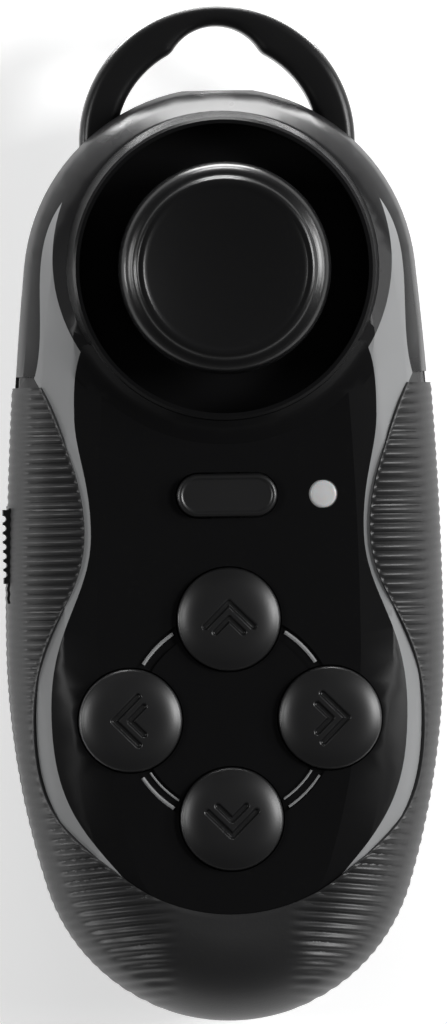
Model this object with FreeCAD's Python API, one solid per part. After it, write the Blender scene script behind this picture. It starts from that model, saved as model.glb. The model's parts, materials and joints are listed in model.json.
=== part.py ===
import FreeCAD, Part
import functools
import math
import os

# Pocket remote with a thumb stick, for one hand.
# Millimetres. X to the right, Y towards the carry loop, Z up out of the key face.
# The origin lies under the middle of the remote, on the table that it rests on.

V = FreeCAD.Vector
ORIGIN = V(0, 0, 0)
X_AXIS, Z_AXIS = V(1, 0, 0), V(0, 0, 1)
FAR = 80.0                      # reach of a cutting block past the whole remote

# Plan of the body: a head circle and a tail circle joined by two long arcs on each side
HEAD_MARGIN, HEAD_Y = 4.9, 24.7  # the head circle is this much wider than the stick's lip
FLANK_SWELL, WIDE_Y = 2.0, -13.5  # the widest line stands out from the head circle
TAIL_DRAW = 3.2                 # the tail circle is drawn in from the widest line
TAIL_MARGIN = 9.9               # middle of the tail circle ahead of the battery bay's rear end
FRONT_FLAT_DEPTH = 0.35         # flat on the front of the head, behind the strap

# Side view of the body
DECK_Z = 25.6                   # key face
SHOULDER_R = 9.0                # rounding from the key face into the side
OUTER_BANDS, INNER_BANDS = 4, 2  # a rounding is drawn in this many conical bands
PARTING_Z = 13.0                # seam between the two shells
BELLY_R = 9.0                   # rounding under the palm part
NOSE_Y, NOSE_R = 15.0, 27.0     # where the palm part ends under the head
UNDER_Z, UNDER_R = 8.0, 4.5     # underside of the head, and its rounding

# Shells and what is let into them
WALL = 2.2
SEAT_DEPTH = 0.9                # depth of the seats for plate, trim and grip
GRIP_PROUD = 0.4
GRIP_END_Y = 13.7
LOWER_GRIP_END_Y = 1.0          # the lower grip ends where the nose of the palm part begins
GRIP_FOOT_Z = 4.0
NOTCH_WIDTH, NOTCH_DEPTH = 1.2, 0.35
FIT = 0.15                      # clearance round a sliding piece
TOUCH = 0.05                    # clearance of pieces that rest on each other

# Hourglass face plate, right-hand edge: distance in from the widest line, and y
PLATE_TOP = (8.0, 18.2)
PLATE_BULGE = (6.9, 10.5)
PLATE_NECK = (7.9, 4.0)
PLATE_WAIST = (8.5, -2.0)
PLATE_HIP = (4.0, -21.2)
PLATE_END = (11.6, -39.4)
PLATE_FOOT_Y = -43.3
PLATE_END_SLOPE = (-0.66, -0.75)

# Silver trim strips, right-hand outer edge, measured in the same way
TRIM_TIP = (6.6, 34.3)
TRIM_SIDE = (3.9, 28.5)
TRIM_FLANK = (3.5, 21.5)
TRIM_CORNER = (2.8, 14.7)
TRIM_NECK = (6.2, 6.3)
TRIM_WAIST = (7.8, -2.0)
TRIM_HIP = (2.0, -22.5)
TRIM_END_SLOPE = (-0.8, -0.6)
SLIVER = 1.0                    # cubic millimetres, smaller offcuts of a strip are left out

# Collar and well of the thumb stick
STICK_Y = 26.2
LIP_R, LIP_Z, LIP_EDGE = 16.3, 28.5, 0.3
COLLAR_SPREAD, COLLAR_FOOT_Z = 1.3, 19.2
HALO_WIDTH, HALO_Y = 2.0, 27.2  # glossy ring of the case round the collar
WELL_WALL, WELL_FLOOR_Z = 0.7, 22.0
WELL_HOLE_GAP = 0.7             # room round the mechanism in the floor of the well
TUB_WALL = 1.3
FLARE_WIDTH, FLARE_RISE, FLARE_SINK = 3.3, 1.9, 0.3
FLARE_BEND = 0.4                # share of the flare's width and height where its slope bends

# Round face keys on a ring, and the groove that joins them
KEY_R = 5.57
KEY_RING_R, KEY_RING_Y = 10.75, -22.3
KEY_RISE = 1.5                  # crown of a key above the face plate
KEY_DOME, KEY_DOME_WIDTH, KEY_EDGE = 0.6, 2.6, 0.5
KEY_TRAVEL = 1.0
STOP_REACH, STOP_WIDTH, STOP_THICK = 0.9, 3.0, 1.0  # two lugs of each key stop under the shell
RING_GROOVE_WIDTH, RING_GROOVE_DEPTH = 1.7, 0.3

# Start key and lamp window
START_LENGTH, START_WIDTH, START_Y = 10.8, 4.65, 1.8
START_RISE = 1.0
START_EDGE = 0.45
LAMP_R, LAMP_X, LAMP_Y = 1.5, 10.4, 1.8

# Board, rubber dome sheet and parts on the board
BOARD_THICK, BOARD_GAP = 1.2, 1.2
BOARD_Z = 14.0
BOARD_TAIL_Y = -44.5
SHEET_THICK = 0.8
SHEET_HALF_WIDTH, SHEET_FRONT_Y, SHEET_REAR_Y, SHEET_CORNER_R = 16.2, 4.9, -39.8, 6.0
DOME_PRESSED = 2.0              # height of a rubber dome when its key is down
DOME_R, START_DOME_R = 2.6, 1.6

# Two AAA cells side by side, their bay and the sliding cover
CELL_R, CELL_LENGTH = 5.25, 44.5
CELL_NUB_R, CELL_NUB_HEIGHT, CELL_EDGE = 1.9, 0.8, 0.4
CELL_GAP = 0.7
COVER_THICK, COVER_HALF_WIDTH = 1.8, 12.5
TONGUE_WIDTH, TONGUE_THICK = 0.8, 0.8
COVER_GAP = 0.15
CELL_FLOOR_GAP = 0.3
BAY_WALL, BAY_ROOF = 1.3, 0.8
BAY_FRONT_Y = 4.0
CONTACT_THICK, CONTACT_SHARE = 0.4, 0.6
LEAF_REACH, LEAF_WIDTH, LEAF_TOUCH, LEAF_END, LEAF_SLANT = 3.0, 3.6, 1.0, 1.2, 1.4
COVER_GROOVES, COVER_GROOVE_PITCH, COVER_GROOVE_DEPTH = 4, 1.6, 0.5
COVER_GROOVE_START = 4.8        # first finger groove from the rear end of the bay

# Screws that close the case, and those that hold the board
HEAD_SCREWS = [(12.7, 36.0), (-12.7, 36.0), (15.4, 17.6), (-15.4, 17.6)]
SCREW_R, SCREW_HEAD_R, SCREW_HEAD, SCREW_LENGTH = 0.9, 1.8, 1.3, 8.0
SCREW_SEAT_Z = 9.6
BOSS_R, BOSS_GAP = 2.7, 0.2
BOARD_SCREWS = [(13.6, 7.2), (-13.6, 7.2), (14.5, -31.0), (-14.5, -31.0)]
SMALL_SCREW_R, SMALL_HEAD_R, SMALL_HEAD, SMALL_LENGTH = 0.7, 1.5, 0.8, 4.0
POST_R = 1.8

# Carry loop
LOOP_R, LOOP_Y = 14.9, 40.1
LOOP_HOLE_R, LOOP_HOLE_Y = 11.0, 39.8
BULB_R, BULB_Y = 5.5, 47.1
LOOP_BLEND_R = 2.2
LOOP_LOW_Z, LOOP_HIGH_Z = 10.4, 15.6
LOOP_EDGE = 0.7
LUG_THICK, LUG_END_Y = 1.6, 33.2

# Thumb pad
PAD_R, PAD_TOP_R, PAD_DISH_R, PAD_FLOOR_R = 11.45, 9.5, 8.7, 5.2
PAD_TOP_Z, PAD_DISH, PAD_SIDE_Z, PAD_FOOT_Z = 32.7, 0.9, 30.5, 28.2
PAD_WALL, PAD_THICK = 1.2, 1.8
HUB_R, HUB_FOOT_Z, ROOT_DEPTH = 3.0, 27.0, 0.5  # a joined piece starts this deep in the other

# Two-axis mechanism under the thumb pad
STICK_TILT = 16.0               # degrees each way, about both axes
PIVOT_Z = 20.2
STEM_R, STEM_HEAD_R, STEM_STEP_Z, STEM_TOP_Z = 1.1, 1.7, 26.4, 30.0
STEM_FOOT_R, STEM_FOOT_DROP, STEM_FOOT_THICK = 1.5, 2.7, 0.5
STEM_PIN_R = 0.5
FRAME_HALF, FRAME_WALL, FRAME_TOP_Z, FRAME_MOUTH_GAP = 6.2, 0.5, 25.1, 1.7
AXLE_END = 0.6                  # what an axle shows outside the frame
AXLE_IN_SENSOR = 0.8            # share of a sensor's depth that an axle fills
BASE_THICK = 0.7
AXLE_R = 0.9
AXLE_FIT = 0.05
ARM_HALF_X, ARM_HALF_Y, ARM_HALF_Z = 2.5, 2.5, 1.0
ARM_SLOT_X, ARM_SLOT_Y = 1.75, 1.6
BAIL_INNER_R, BAIL_OUTER_R, BAIL_HALF_X, BAIL_SLOT_Y = 3.3, 4.1, 1.9, 2.6
SENSOR_THICK, SENSOR_HALF, SENSOR_TOP_Z = 2.2, 3.6, 22.9
COIL_WIRE, COIL_R, COIL_TURNS, COIL_STEPS = 0.25, 1.2, 3, 10

# Slide switch at the left edge
SLIDE_Y, SLIDE_Z = -3.4, 17.0
SLIDE_TRAVEL = 2.0
KNOB_LENGTH, KNOB_HEIGHT, KNOB_PROUD, KNOB_SEAT = 8.0, 2.8, 0.75, 1.2
KNOB_GROOVES, KNOB_GROOVE_DEPTH = 7, 0.35
NECK_LENGTH, NECK_HEIGHT = 3.0, 1.5
SWITCH_INSET, SWITCH_DEPTH, SWITCH_TOP_Z = 3.9, 3.5, 18.6
SWITCH_LENGTH, SWITCH_SHELL = 9.2, 0.5
SLIDER_DEPTH = 1.4

# Two finger keys under the head
TRIGGER_HINGES_Y = [40.4, 27.5]
TRIGGER_WIDTH, TRIGGER_REACH, TRIGGER_SWING = 13.0, 9.0, 6.0
HINGE_Z, HINGE_R, HINGE_PIN_R = 10.9, 1.7, 0.8
TRIGGER_FOOT_Z = 3.4
TRIGGER_ARM_TOP_Z, TRIGGER_STOP = 11.5, 1.4
TRIGGER_TIP, TRIGGER_CORNER_R, TRIGGER_BELLY = 1.6, 2.6, 0.55
FINGER_REACH, FINGER_WIDTH = 3.0, 3.0
EAR_WALL, EAR_GAP = 1.6, 0.3
PUSH_BODY, PUSH_BODY_THICK, PUSH_PLUNGER_R, PUSH_STROKE = 4.0, 1.1, 0.9, 0.4

# Parts on the board: middle, length, width and height
CHIP = (-6.0, 10.4, 6.0, 6.0, 0.9)
CRYSTAL = (2.6, 10.2, 3.2, 2.5, 0.8)
LED_HALF_WIDTH, LED_HEIGHT = 0.9, 1.2

# Places and levels that follow from the sizes above
HEAD_R = LIP_R + HEAD_MARGIN
WIDE_X = HEAD_R + FLANK_SWELL
TAIL_R = WIDE_X - TAIL_DRAW
BOARD_TOP_Z = BOARD_Z + BOARD_THICK
SHEET_TOP_Z = BOARD_TOP_Z + SHEET_THICK
DOME_TOP_Z = SHEET_TOP_Z + DOME_PRESSED + KEY_TRAVEL
KEY_FOOT_Z = DOME_TOP_Z + 2 * TOUCH
STOP_TOP_Z = DECK_Z - WALL - TOUCH
CELL_Z = COVER_THICK + CELL_FLOOR_GAP + CELL_R
CELL_X = CELL_R + CELL_GAP / 2
BAY_HALF_WIDTH = CELL_X + CELL_R + CELL_GAP / 2
BAY_TOP_Z = CELL_Z + CELL_R + CELL_FLOOR_GAP
BAY_REAR_Y = BAY_FRONT_Y - CELL_LENGTH - LEAF_REACH - 2 * CONTACT_THICK - 4 * TOUCH
TAIL_Y = BAY_REAR_Y + TAIL_MARGIN
CASE_SCREWS = HEAD_SCREWS + [(0.0, BAY_REAR_Y - BAY_WALL - BOSS_R - BOSS_GAP)]
KNOB_FACE_X, KNOB_BACK_X = -WIDE_X - KNOB_PROUD, KNOB_SEAT - WIDE_X
SWITCH_FACE_X = SWITCH_INSET - WIDE_X
SWITCH_BACK_X = SWITCH_FACE_X + SWITCH_DEPTH
FIELD_TOP_Z = LIP_Z + 2.0        # the inlays' plan fields reach above the lip
TURRET_SLOPE = COLLAR_SPREAD / (LIP_Z - COLLAR_FOOT_Z)
PIVOT = V(0, STICK_Y, PIVOT_Z)
UNDER_INNER_Z = UNDER_Z + WALL
STEM_SWING = (FRAME_TOP_Z - PIVOT_Z) * math.tan(math.radians(STICK_TILT))
FRAME_MOUTH_R = STEM_R + STEM_SWING + FRAME_MOUTH_GAP
SENSOR_REACH = FRAME_HALF + TOUCH + SENSOR_THICK
WELL_HOLE_R = math.hypot(SENSOR_REACH, SENSOR_HALF) + WELL_HOLE_GAP


# Small building blocks

def block(x0, x1, y0, y1, z0, z1):
    return Part.makeBox(x1 - x0, y1 - y0, z1 - z0, V(x0, y0, z0))


def post(radius, x, y, z0, z1):
    return Part.makeCylinder(radius, z1 - z0, V(x, y, z0))


def bar(radius, start, end):
    return Part.makeCylinder(radius, (end - start).Length, start, end - start)


def prism(edges, z0, z1):
    wire = Part.Wire(Part.__sortEdges__(edges))
    solid = Part.Face(wire).extrude(V(0, 0, z1 - z0))
    solid.translate(V(0, 0, z0))
    return solid


def stadium(length, width, x, y, z0, z1):
    """Upright bar with round ends, long along X."""
    half = (length - width) / 2
    solid = block(x - half, x + half, y - width / 2, y + width / 2, z0, z1)
    for side in (-half, half):
        solid = solid.fuse(post(width / 2, x + side, y, z0, z1))
    return solid.removeSplitter()


def turned(profile, x, y):
    """Solid turned about the upright line through x, y, from a profile of (radius, z) points."""
    points = [V(radius, 0, z) for radius, z in profile + profile[:1]]
    solid = Part.Face(Part.makePolygon(points)).revolve(ORIGIN, Z_AXIS, 360)
    solid.translate(V(x, y, 0))
    return solid


def coil(foot_z, radius, height, turns, wire):
    """Square wire wound round the stick's axis."""
    half = wire / 2
    sections = []
    for step in range(COIL_STEPS * turns + 1):
        angle = 2 * math.pi * step / COIL_STEPS
        z = foot_z + height * step / (COIL_STEPS * turns)
        corners = []
        for out, up in ((-half, -half), (half, -half), (half, half), (-half, half)):
            reach = radius + out
            corners.append(V(reach * math.cos(angle), STICK_Y + reach * math.sin(angle), z + up))
        sections.append(Part.makePolygon(corners + corners[:1]))
    return Part.makeLoft(sections, True, True)


def mirrored(shape):
    return shape.mirror(ORIGIN, X_AXIS)


def joined(shapes):
    whole = shapes[0]
    for shape in shapes[1:]:
        whole = whole.fuse(shape)
    return whole


# Outer form of the body, drawn inwards by an inset so that walls nest in each other

def flank_radius(end_r, end_y):
    """Radius of an arc that touches the widest line of the body and an end circle."""
    along = end_y - WIDE_Y
    return (WIDE_X ** 2 + along ** 2 - end_r ** 2) / (2 * (WIDE_X - end_r))


def flank_hub(end_r, end_y):
    return V(WIDE_X - flank_radius(end_r, end_y), WIDE_Y, 0)


def flank_touch(end_r, end_y, inset):
    """Where the right-hand flank arc runs into an end circle."""
    towards = V(0, end_y, 0) - flank_hub(end_r, end_y)
    towards.normalize()
    return V(0, end_y, 0) + towards * (end_r - inset)


def arc_about(hub, start, end):
    """The shorter arc from start to end about a hub."""
    towards = (start + end) * 0.5 - hub
    towards.normalize()
    return Part.Arc(start, hub + towards * (start - hub).Length, end).toShape()


def closed_outline(edges, z):
    wire = Part.Wire(Part.__sortEdges__(edges))
    wire.translate(V(0, 0, z))
    return wire


def tail_edges(inset):
    """Tail circle and the two flank arcs behind the widest place."""
    wide = V(WIDE_X - inset, WIDE_Y, 0)
    touch = flank_touch(TAIL_R, TAIL_Y, inset)
    rear = arc_about(flank_hub(TAIL_R, TAIL_Y), touch, wide)
    tail = Part.Arc(V(-touch.x, touch.y, 0), V(0, TAIL_Y - TAIL_R + inset, 0), touch).toShape()
    return [rear, mirrored(rear), tail]


def body_outline(inset, z):
    wide = V(WIDE_X - inset, WIDE_Y, 0)
    touch = flank_touch(HEAD_R, HEAD_Y, inset)
    fore = arc_about(flank_hub(HEAD_R, HEAD_Y), wide, touch)
    head = Part.Arc(touch, V(0, HEAD_Y + HEAD_R - inset, 0), V(-touch.x, touch.y, 0)).toShape()
    return closed_outline(tail_edges(inset) + [fore, mirrored(fore), head], z)


def palm_outline(inset, z):
    """The body's outline with the head cut off along a blunt nose."""
    hub = flank_hub(HEAD_R, HEAD_Y)
    flank_r = flank_radius(HEAD_R, HEAD_Y) - inset
    nose_hub = V(0, NOSE_Y - NOSE_R, 0)
    nose_r = NOSE_R - inset
    apart = nose_hub - hub
    share = (flank_r ** 2 - nose_r ** 2 + apart.Length ** 2) / (2 * apart.Length)
    height = math.sqrt(flank_r ** 2 - share ** 2)
    apart.normalize()
    corner = hub + apart * share + V(-apart.y, apart.x, 0) * height
    wide = V(WIDE_X - inset, WIDE_Y, 0)
    fore = arc_about(hub, wide, corner)
    nose = Part.Arc(corner, V(0, NOSE_Y - inset, 0), V(-corner.x, corner.y, 0)).toShape()
    return closed_outline(tail_edges(inset) + [fore, mirrored(fore), nose], z)


def pebble(outline, inset, seam_z, flat_z, radius, bands):
    """Solid from a seam level to a flat face, rounded into it by conical bands."""
    up = 1 if flat_z > seam_z else -1
    flat = flat_z - up * inset
    bend = radius - inset
    wires = [outline(inset, seam_z)]
    for step in range(bands + 1):
        angle = math.pi / 2 * step / bands
        wires.append(outline(inset + bend * (1 - math.cos(angle)),
                             flat - up * bend * (1 - math.sin(angle))))
    return Part.makeLoft(wires, True, True)


def bands_for(inset):
    return OUTER_BANDS if inset <= 0 else INNER_BANDS


@functools.lru_cache(maxsize=None)
def upper_form(inset):
    return pebble(body_outline, inset, PARTING_Z, DECK_Z, SHOULDER_R, bands_for(inset))


@functools.lru_cache(maxsize=None)
def lower_form(inset):
    palm = pebble(palm_outline, inset, PARTING_Z, 0, BELLY_R, bands_for(inset))
    head = pebble(body_outline, inset, PARTING_Z, UNDER_Z, UNDER_R, INNER_BANDS)
    return palm.fuse(head).removeSplitter()


# Plan fields of the inlays in the key face

def from_flank(point):
    """Plan point whose x is given as a distance in from the widest line."""
    return V(WIDE_X - point[0], point[1], 0)


def curve_through(points, headings):
    curve = Part.BSplineCurve()
    flags = [heading is not None for heading in headings]
    tangents = [V(heading[0], heading[1], 0) if heading else V(0, 0, 0) for heading in headings]
    curve.interpolate(Points=[from_flank(point) for point in points], Tangents=tangents,
                      TangentFlags=flags)
    return curve.toShape()


@functools.lru_cache(maxsize=None)
def plate_field():
    points = [PLATE_TOP, PLATE_BULGE, PLATE_NECK, PLATE_WAIST, PLATE_HIP, PLATE_END]
    down = (0, -1)
    right = curve_through(points, [None, down, None, down, down, PLATE_END_SLOPE])
    end = from_flank(PLATE_END)
    foot = Part.Arc(end, V(0, PLATE_FOOT_Y, 0), V(-end.x, end.y, 0)).toShape()
    top = from_flank(PLATE_TOP)
    chord = Part.LineSegment(V(-top.x, top.y, 0), top).toShape()
    return prism([right, foot, mirrored(right), chord], PARTING_Z, FIELD_TOP_Z)


@functools.lru_cache(maxsize=None)
def trim_field():
    """Everything inside the outer edges of both trim strips."""
    down = (0, -1)
    upper = curve_through([TRIM_TIP, TRIM_SIDE, TRIM_FLANK, TRIM_CORNER],
                          [None, None, None, None])
    lower = curve_through([TRIM_CORNER, TRIM_NECK, TRIM_WAIST, TRIM_HIP, PLATE_END],
                          [None, None, down, down, TRIM_END_SLOPE])
    tip = from_flank(TRIM_TIP)
    end = from_flank(PLATE_END)
    edges = [upper, lower, mirrored(upper), mirrored(lower)]
    edges.append(Part.LineSegment(V(-tip.x, tip.y, 0), tip).toShape())
    edges.append(Part.LineSegment(V(-end.x, end.y, 0), end).toShape())
    return prism(edges, PARTING_Z, FIELD_TOP_Z)


@functools.lru_cache(maxsize=None)
def collar_form():
    """Cone of the stick's collar with its chamfered lip, solid inside."""
    foot_r = LIP_R + TURRET_SLOPE * (LIP_Z - PARTING_Z)
    profile = [(0, PARTING_Z), (foot_r, PARTING_Z), (LIP_R, LIP_Z - LIP_EDGE),
               (LIP_R - LIP_EDGE, LIP_Z), (0, LIP_Z)]
    return turned(profile, 0, STICK_Y)


def halo():
    return post(LIP_R + HALO_WIDTH, 0, HALO_Y, PARTING_Z, FIELD_TOP_Z)


@functools.lru_cache(maxsize=None)
def strip_field():
    return trim_field().cut(halo()).cut(plate_field())


@functools.lru_cache(maxsize=None)
def inlay_field():
    return joined([strip_field(), plate_field(), collar_form()])


# Keys

def face_keys():
    """Name, x and y of each round face key."""
    ring = KEY_RING_R
    return [("button_square", 0.0, KEY_RING_Y + ring), ("button_cross", -ring, KEY_RING_Y),
            ("button_triangle", ring, KEY_RING_Y), ("button_mode", 0.0, KEY_RING_Y - ring)]


def with_stops(key, x, y, half):
    """Key with a lug before and behind it, which stop it under the shell."""
    reach = half + STOP_REACH
    return key.fuse(block(x - STOP_WIDTH / 2, x + STOP_WIDTH / 2, y - reach, y + reach,
                          STOP_TOP_Z - STOP_THICK, STOP_TOP_Z))


def face_key(x, y):
    """Round key: a chamfered edge, a shallow cone and a flat middle."""
    top = DECK_Z + KEY_RISE
    edge = top - KEY_DOME
    crown_r = KEY_R - KEY_EDGE
    key = turned([(0, KEY_FOOT_Z), (KEY_R, KEY_FOOT_Z), (KEY_R, edge - KEY_EDGE), (crown_r, edge),
                  (crown_r - KEY_DOME_WIDTH, top), (0, top)], x, y)
    return with_stops(key, x, y, KEY_R)


def start_key():
    top = DECK_Z + START_RISE
    body = stadium(START_LENGTH, START_WIDTH, 0, START_Y, KEY_FOOT_Z, top)
    rim = [edge for edge in body.Edges if edge.BoundBox.ZMin > top - START_EDGE / 2]
    body = body.makeChamfer(START_EDGE, rim)
    return with_stops(body, 0, START_Y, START_WIDTH / 2)


def key_openings(spread, z0, z1):
    """Bars through every key opening, wider than the key by spread."""
    bars = [post(KEY_R + spread, x, y, z0, z1) for name, x, y in face_keys()]
    bars.append(stadium(START_LENGTH + 2 * spread, START_WIDTH + 2 * spread, 0, START_Y, z0, z1))
    return bars


# Case

def front_flat():
    return block(-FAR, FAR, HEAD_Y + HEAD_R - FRONT_FLAT_DEPTH, FAR, 0, FAR)


def upper_housing():
    seat = upper_form(SEAT_DEPTH)
    ahead = block(-FAR, FAR, GRIP_END_Y, FAR, PARTING_Z, FAR)
    dome = upper_form(0).common(ahead).cut(inlay_field())
    notch = block(-FAR, FAR, GRIP_END_Y, GRIP_END_Y + NOTCH_WIDTH, PARTING_Z, FAR)
    dome = dome.cut(notch.cut(upper_form(NOTCH_DEPTH)))
    shell = seat.fuse(dome).cut(upper_form(WALL))

    inside = []
    for x, y in CASE_SCREWS:
        foot = PARTING_Z + TOUCH
        if y > LUG_END_Y:
            foot = PARTING_Z + LUG_THICK / 2 + TOUCH
        inside.append(post(BOSS_R, x, y, foot, DECK_Z))
    for x, y in BOARD_SCREWS:
        inside.append(post(POST_R, x, y, BOARD_TOP_Z + TOUCH, DECK_Z))
    shell = shell.fuse(joined(inside).common(seat))

    tools = key_openings(FIT, PARTING_Z, FAR)
    tools.append(post(LIP_R + FIT, 0, STICK_Y, WELL_FLOOR_Z - TUB_WALL - FIT, FAR))
    tools.append(post(LAMP_R + TOUCH, LAMP_X, LAMP_Y, PARTING_Z, FAR))
    for x, y in CASE_SCREWS:
        tools.append(post(SCREW_R, x, y, PARTING_Z, SCREW_SEAT_Z + SCREW_LENGTH))
    for x, y in BOARD_SCREWS:
        tools.append(post(SMALL_SCREW_R, x, y, PARTING_Z, BOARD_Z + SMALL_LENGTH))
    tools += [loop_passage(), front_flat()]
    tools += slide_recess()
    for tool in tools:
        shell = shell.cut(tool)
    return shell


def face_plate():
    surface = upper_form(0).common(plate_field())
    low, high = DECK_Z - FLARE_SINK, DECK_Z + FLARE_RISE
    bend = (LIP_R + FLARE_WIDTH * FLARE_BEND, low + (high - low) * FLARE_BEND)
    flare = turned([(0, low), (LIP_R + FLARE_WIDTH, low), bend, (LIP_R, high), (0, high)], 0, STICK_Y)
    flare = flare.common(plate_field())
    plate = joined([surface, collar_form(), flare]).cut(upper_form(SEAT_DEPTH))
    tub_foot = WELL_FLOOR_Z - TUB_WALL
    plate = plate.fuse(post(LIP_R, 0, STICK_Y, tub_foot, LIP_Z - 2 * LIP_EDGE))

    well = post(LIP_R - WELL_WALL, 0, STICK_Y, WELL_FLOOR_Z, FAR)
    groove = post(KEY_RING_R + RING_GROOVE_WIDTH / 2, 0, KEY_RING_Y, PARTING_Z, FAR)
    groove = groove.cut(post(KEY_RING_R - RING_GROOVE_WIDTH / 2, 0, KEY_RING_Y, PARTING_Z, FAR))
    groove = groove.cut(upper_form(RING_GROOVE_DEPTH))
    tools = key_openings(FIT, PARTING_Z, FAR)
    tools += [well, groove, post(WELL_HOLE_R, 0, STICK_Y, PARTING_Z, FAR),
              post(LAMP_R + TOUCH, LAMP_X, LAMP_Y, PARTING_Z, FAR)]
    for tool in tools:
        plate = plate.cut(tool)
    return plate


def trim_strips():
    """Left and right strip."""
    strips = upper_form(0).common(strip_field()).cut(upper_form(SEAT_DEPTH))
    solids = [solid for solid in strips.cut(collar_form()).Solids if solid.Volume > SLIVER]
    return sorted(solids, key=lambda solid: solid.CenterOfMass.x)


def grip_upper():
    behind = block(-FAR, FAR, -FAR, GRIP_END_Y, PARTING_Z, FAR)
    grip = upper_form(-GRIP_PROUD).common(behind).cut(upper_form(SEAT_DEPTH))
    grip = grip.cut(inlay_field())
    for tool in slide_recess():
        grip = grip.cut(tool)
    return grip


def lower_grip_field():
    """Sides and tail of the lower shell, behind the nose of the palm part."""
    return block(-FAR, FAR, -FAR, LOWER_GRIP_END_Y, GRIP_FOOT_Z, PARTING_Z)


def grip_lower():
    return lower_form(-GRIP_PROUD).common(lower_grip_field()).cut(lower_form(SEAT_DEPTH))


def cover_section(spread):
    """End view of the battery cover: a plate with a tongue along each side."""
    plate = block(-COVER_HALF_WIDTH - spread, COVER_HALF_WIDTH + spread, -FAR,
                  cover_front() + spread, -1, COVER_THICK + spread)
    wide = COVER_HALF_WIDTH + TONGUE_WIDTH + spread
    tongue = block(-wide, wide, -FAR, cover_front() + spread,
                   COVER_THICK - TONGUE_THICK - spread, COVER_THICK + spread)
    return plate.fuse(tongue)


def cover_front():
    return BAY_FRONT_Y + BAY_WALL / 2


def battery_cover():
    cover = cover_section(0).common(lower_form(0))
    half = V(COVER_HALF_WIDTH / 2, 0, 0)
    for row in range(COVER_GROOVES):
        middle = V(0, BAY_REAR_Y + COVER_GROOVE_START + COVER_GROOVE_PITCH * row, 0)
        groove = bar(COVER_GROOVE_DEPTH, middle - half, middle + half)
        cover = cover.cut(groove)
    return cover.removeSplitter()


def lower_housing():
    outer = lower_form(0).cut(lower_grip_field().cut(lower_form(SEAT_DEPTH)))
    notch = block(-FAR, FAR, GRIP_END_Y, GRIP_END_Y + NOTCH_WIDTH, UNDER_Z + UNDER_R, PARTING_Z)
    outer = outer.cut(notch.cut(lower_form(NOTCH_DEPTH)))
    shell = outer.cut(lower_form(WALL))

    inside = []
    for x, y in CASE_SCREWS:
        top = PARTING_Z
        if y > LUG_END_Y:
            top = PARTING_Z - LUG_THICK / 2 - TOUCH
        inside.append(post(BOSS_R, x, y, 0, top))
    wide = BAY_HALF_WIDTH + BAY_WALL
    tray = block(-wide, wide, BAY_REAR_Y - BAY_WALL, BAY_FRONT_Y + BAY_WALL, 0,
                 BAY_TOP_Z + BAY_ROOF)
    rail = COVER_HALF_WIDTH + TONGUE_WIDTH + BAY_WALL
    rails = block(-rail, rail, BAY_REAR_Y - BAY_WALL, BAY_FRONT_Y + BAY_WALL, 0,
                  COVER_THICK + BAY_WALL)
    inside += [tray.common(lower_form(0).fuse(upper_form(SEAT_DEPTH))), rails]
    for hinge_y in TRIGGER_HINGES_Y:
        for side in (-1, 1):
            near = TRIGGER_WIDTH / 2 + EAR_GAP
            ear_x = sorted([side * near, side * (near + EAR_WALL)])
            inside.append(block(ear_x[0], ear_x[1], hinge_y - HINGE_R, hinge_y + HINGE_R,
                                UNDER_Z, HINGE_Z + HINGE_R))
    keep = lower_form(SEAT_DEPTH).fuse(upper_form(WALL))
    shell = shell.fuse(joined(inside).common(keep))

    tools = [cover_section(COVER_GAP)]
    tools.append(block(-BAY_HALF_WIDTH, BAY_HALF_WIDTH, BAY_REAR_Y, BAY_FRONT_Y, -1, BAY_TOP_Z))
    for x, y in CASE_SCREWS:
        tools.append(post(SCREW_HEAD_R + FIT, x, y, -1, SCREW_SEAT_Z))
        tools.append(post(SCREW_R + FIT, x, y, -1, PARTING_Z + 1))
    for hinge_y in TRIGGER_HINGES_Y:
        half = TRIGGER_WIDTH / 2 + EAR_GAP
        tools.append(block(-half, half, hinge_y - TRIGGER_REACH - 2 * EAR_GAP,
                           hinge_y + HINGE_R + EAR_GAP, -1, HINGE_Z + HINGE_R + EAR_GAP))
        tools.append(hinge_pin(hinge_y))
    tools += [loop_passage(), front_flat()]
    for tool in tools:
        shell = shell.cut(tool)
    return shell


# Carry loop, clamped between the shells and held by the two screws in the head

def loop_ring(z0, z1):
    """Flat ring whose opening has a bulb at its far end, blended where the two circles meet."""
    ring = post(LOOP_R, 0, LOOP_Y, z0, z1)
    opening = post(LOOP_HOLE_R, 0, LOOP_HOLE_Y, z0, z1).fuse(post(BULB_R, 0, BULB_Y, z0, z1))
    opening = opening.removeSplitter()
    corners = []
    for edge in opening.Edges:
        box = edge.BoundBox
        beside = abs(box.Center.x) > BULB_R / 2 and box.Center.y > LOOP_HOLE_Y
        if beside and box.ZLength > (z1 - z0) / 2 and box.XLength < LOOP_BLEND_R:
            corners.append(edge)
    return ring.cut(opening.makeFillet(LOOP_BLEND_R, corners))


def lanyard_loop():
    body = loop_ring(LOOP_LOW_Z, LOOP_HIGH_Z)
    faces = [edge for edge in body.Edges if edge.BoundBox.ZLength < LOOP_EDGE / 2]
    body = body.makeChamfer(LOOP_EDGE, faces)
    inner_wall = HEAD_R - WALL
    body = body.cut(post(inner_wall, 0, HEAD_Y, LOOP_LOW_Z - 1, LOOP_HIGH_Z + 1))
    body = body.common(block(-FAR, FAR, LUG_END_Y, FAR, 0, FAR))
    lug = loop_ring(PARTING_Z - LUG_THICK / 2, PARTING_Z + LUG_THICK / 2)
    lug = lug.common(block(-FAR, FAR, LUG_END_Y, FAR, 0, FAR))
    loop = body.fuse(lug)
    for x, y in CASE_SCREWS:
        loop = loop.cut(post(SCREW_R + FIT, x, y, 0, FAR))
    return loop.removeSplitter()


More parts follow.
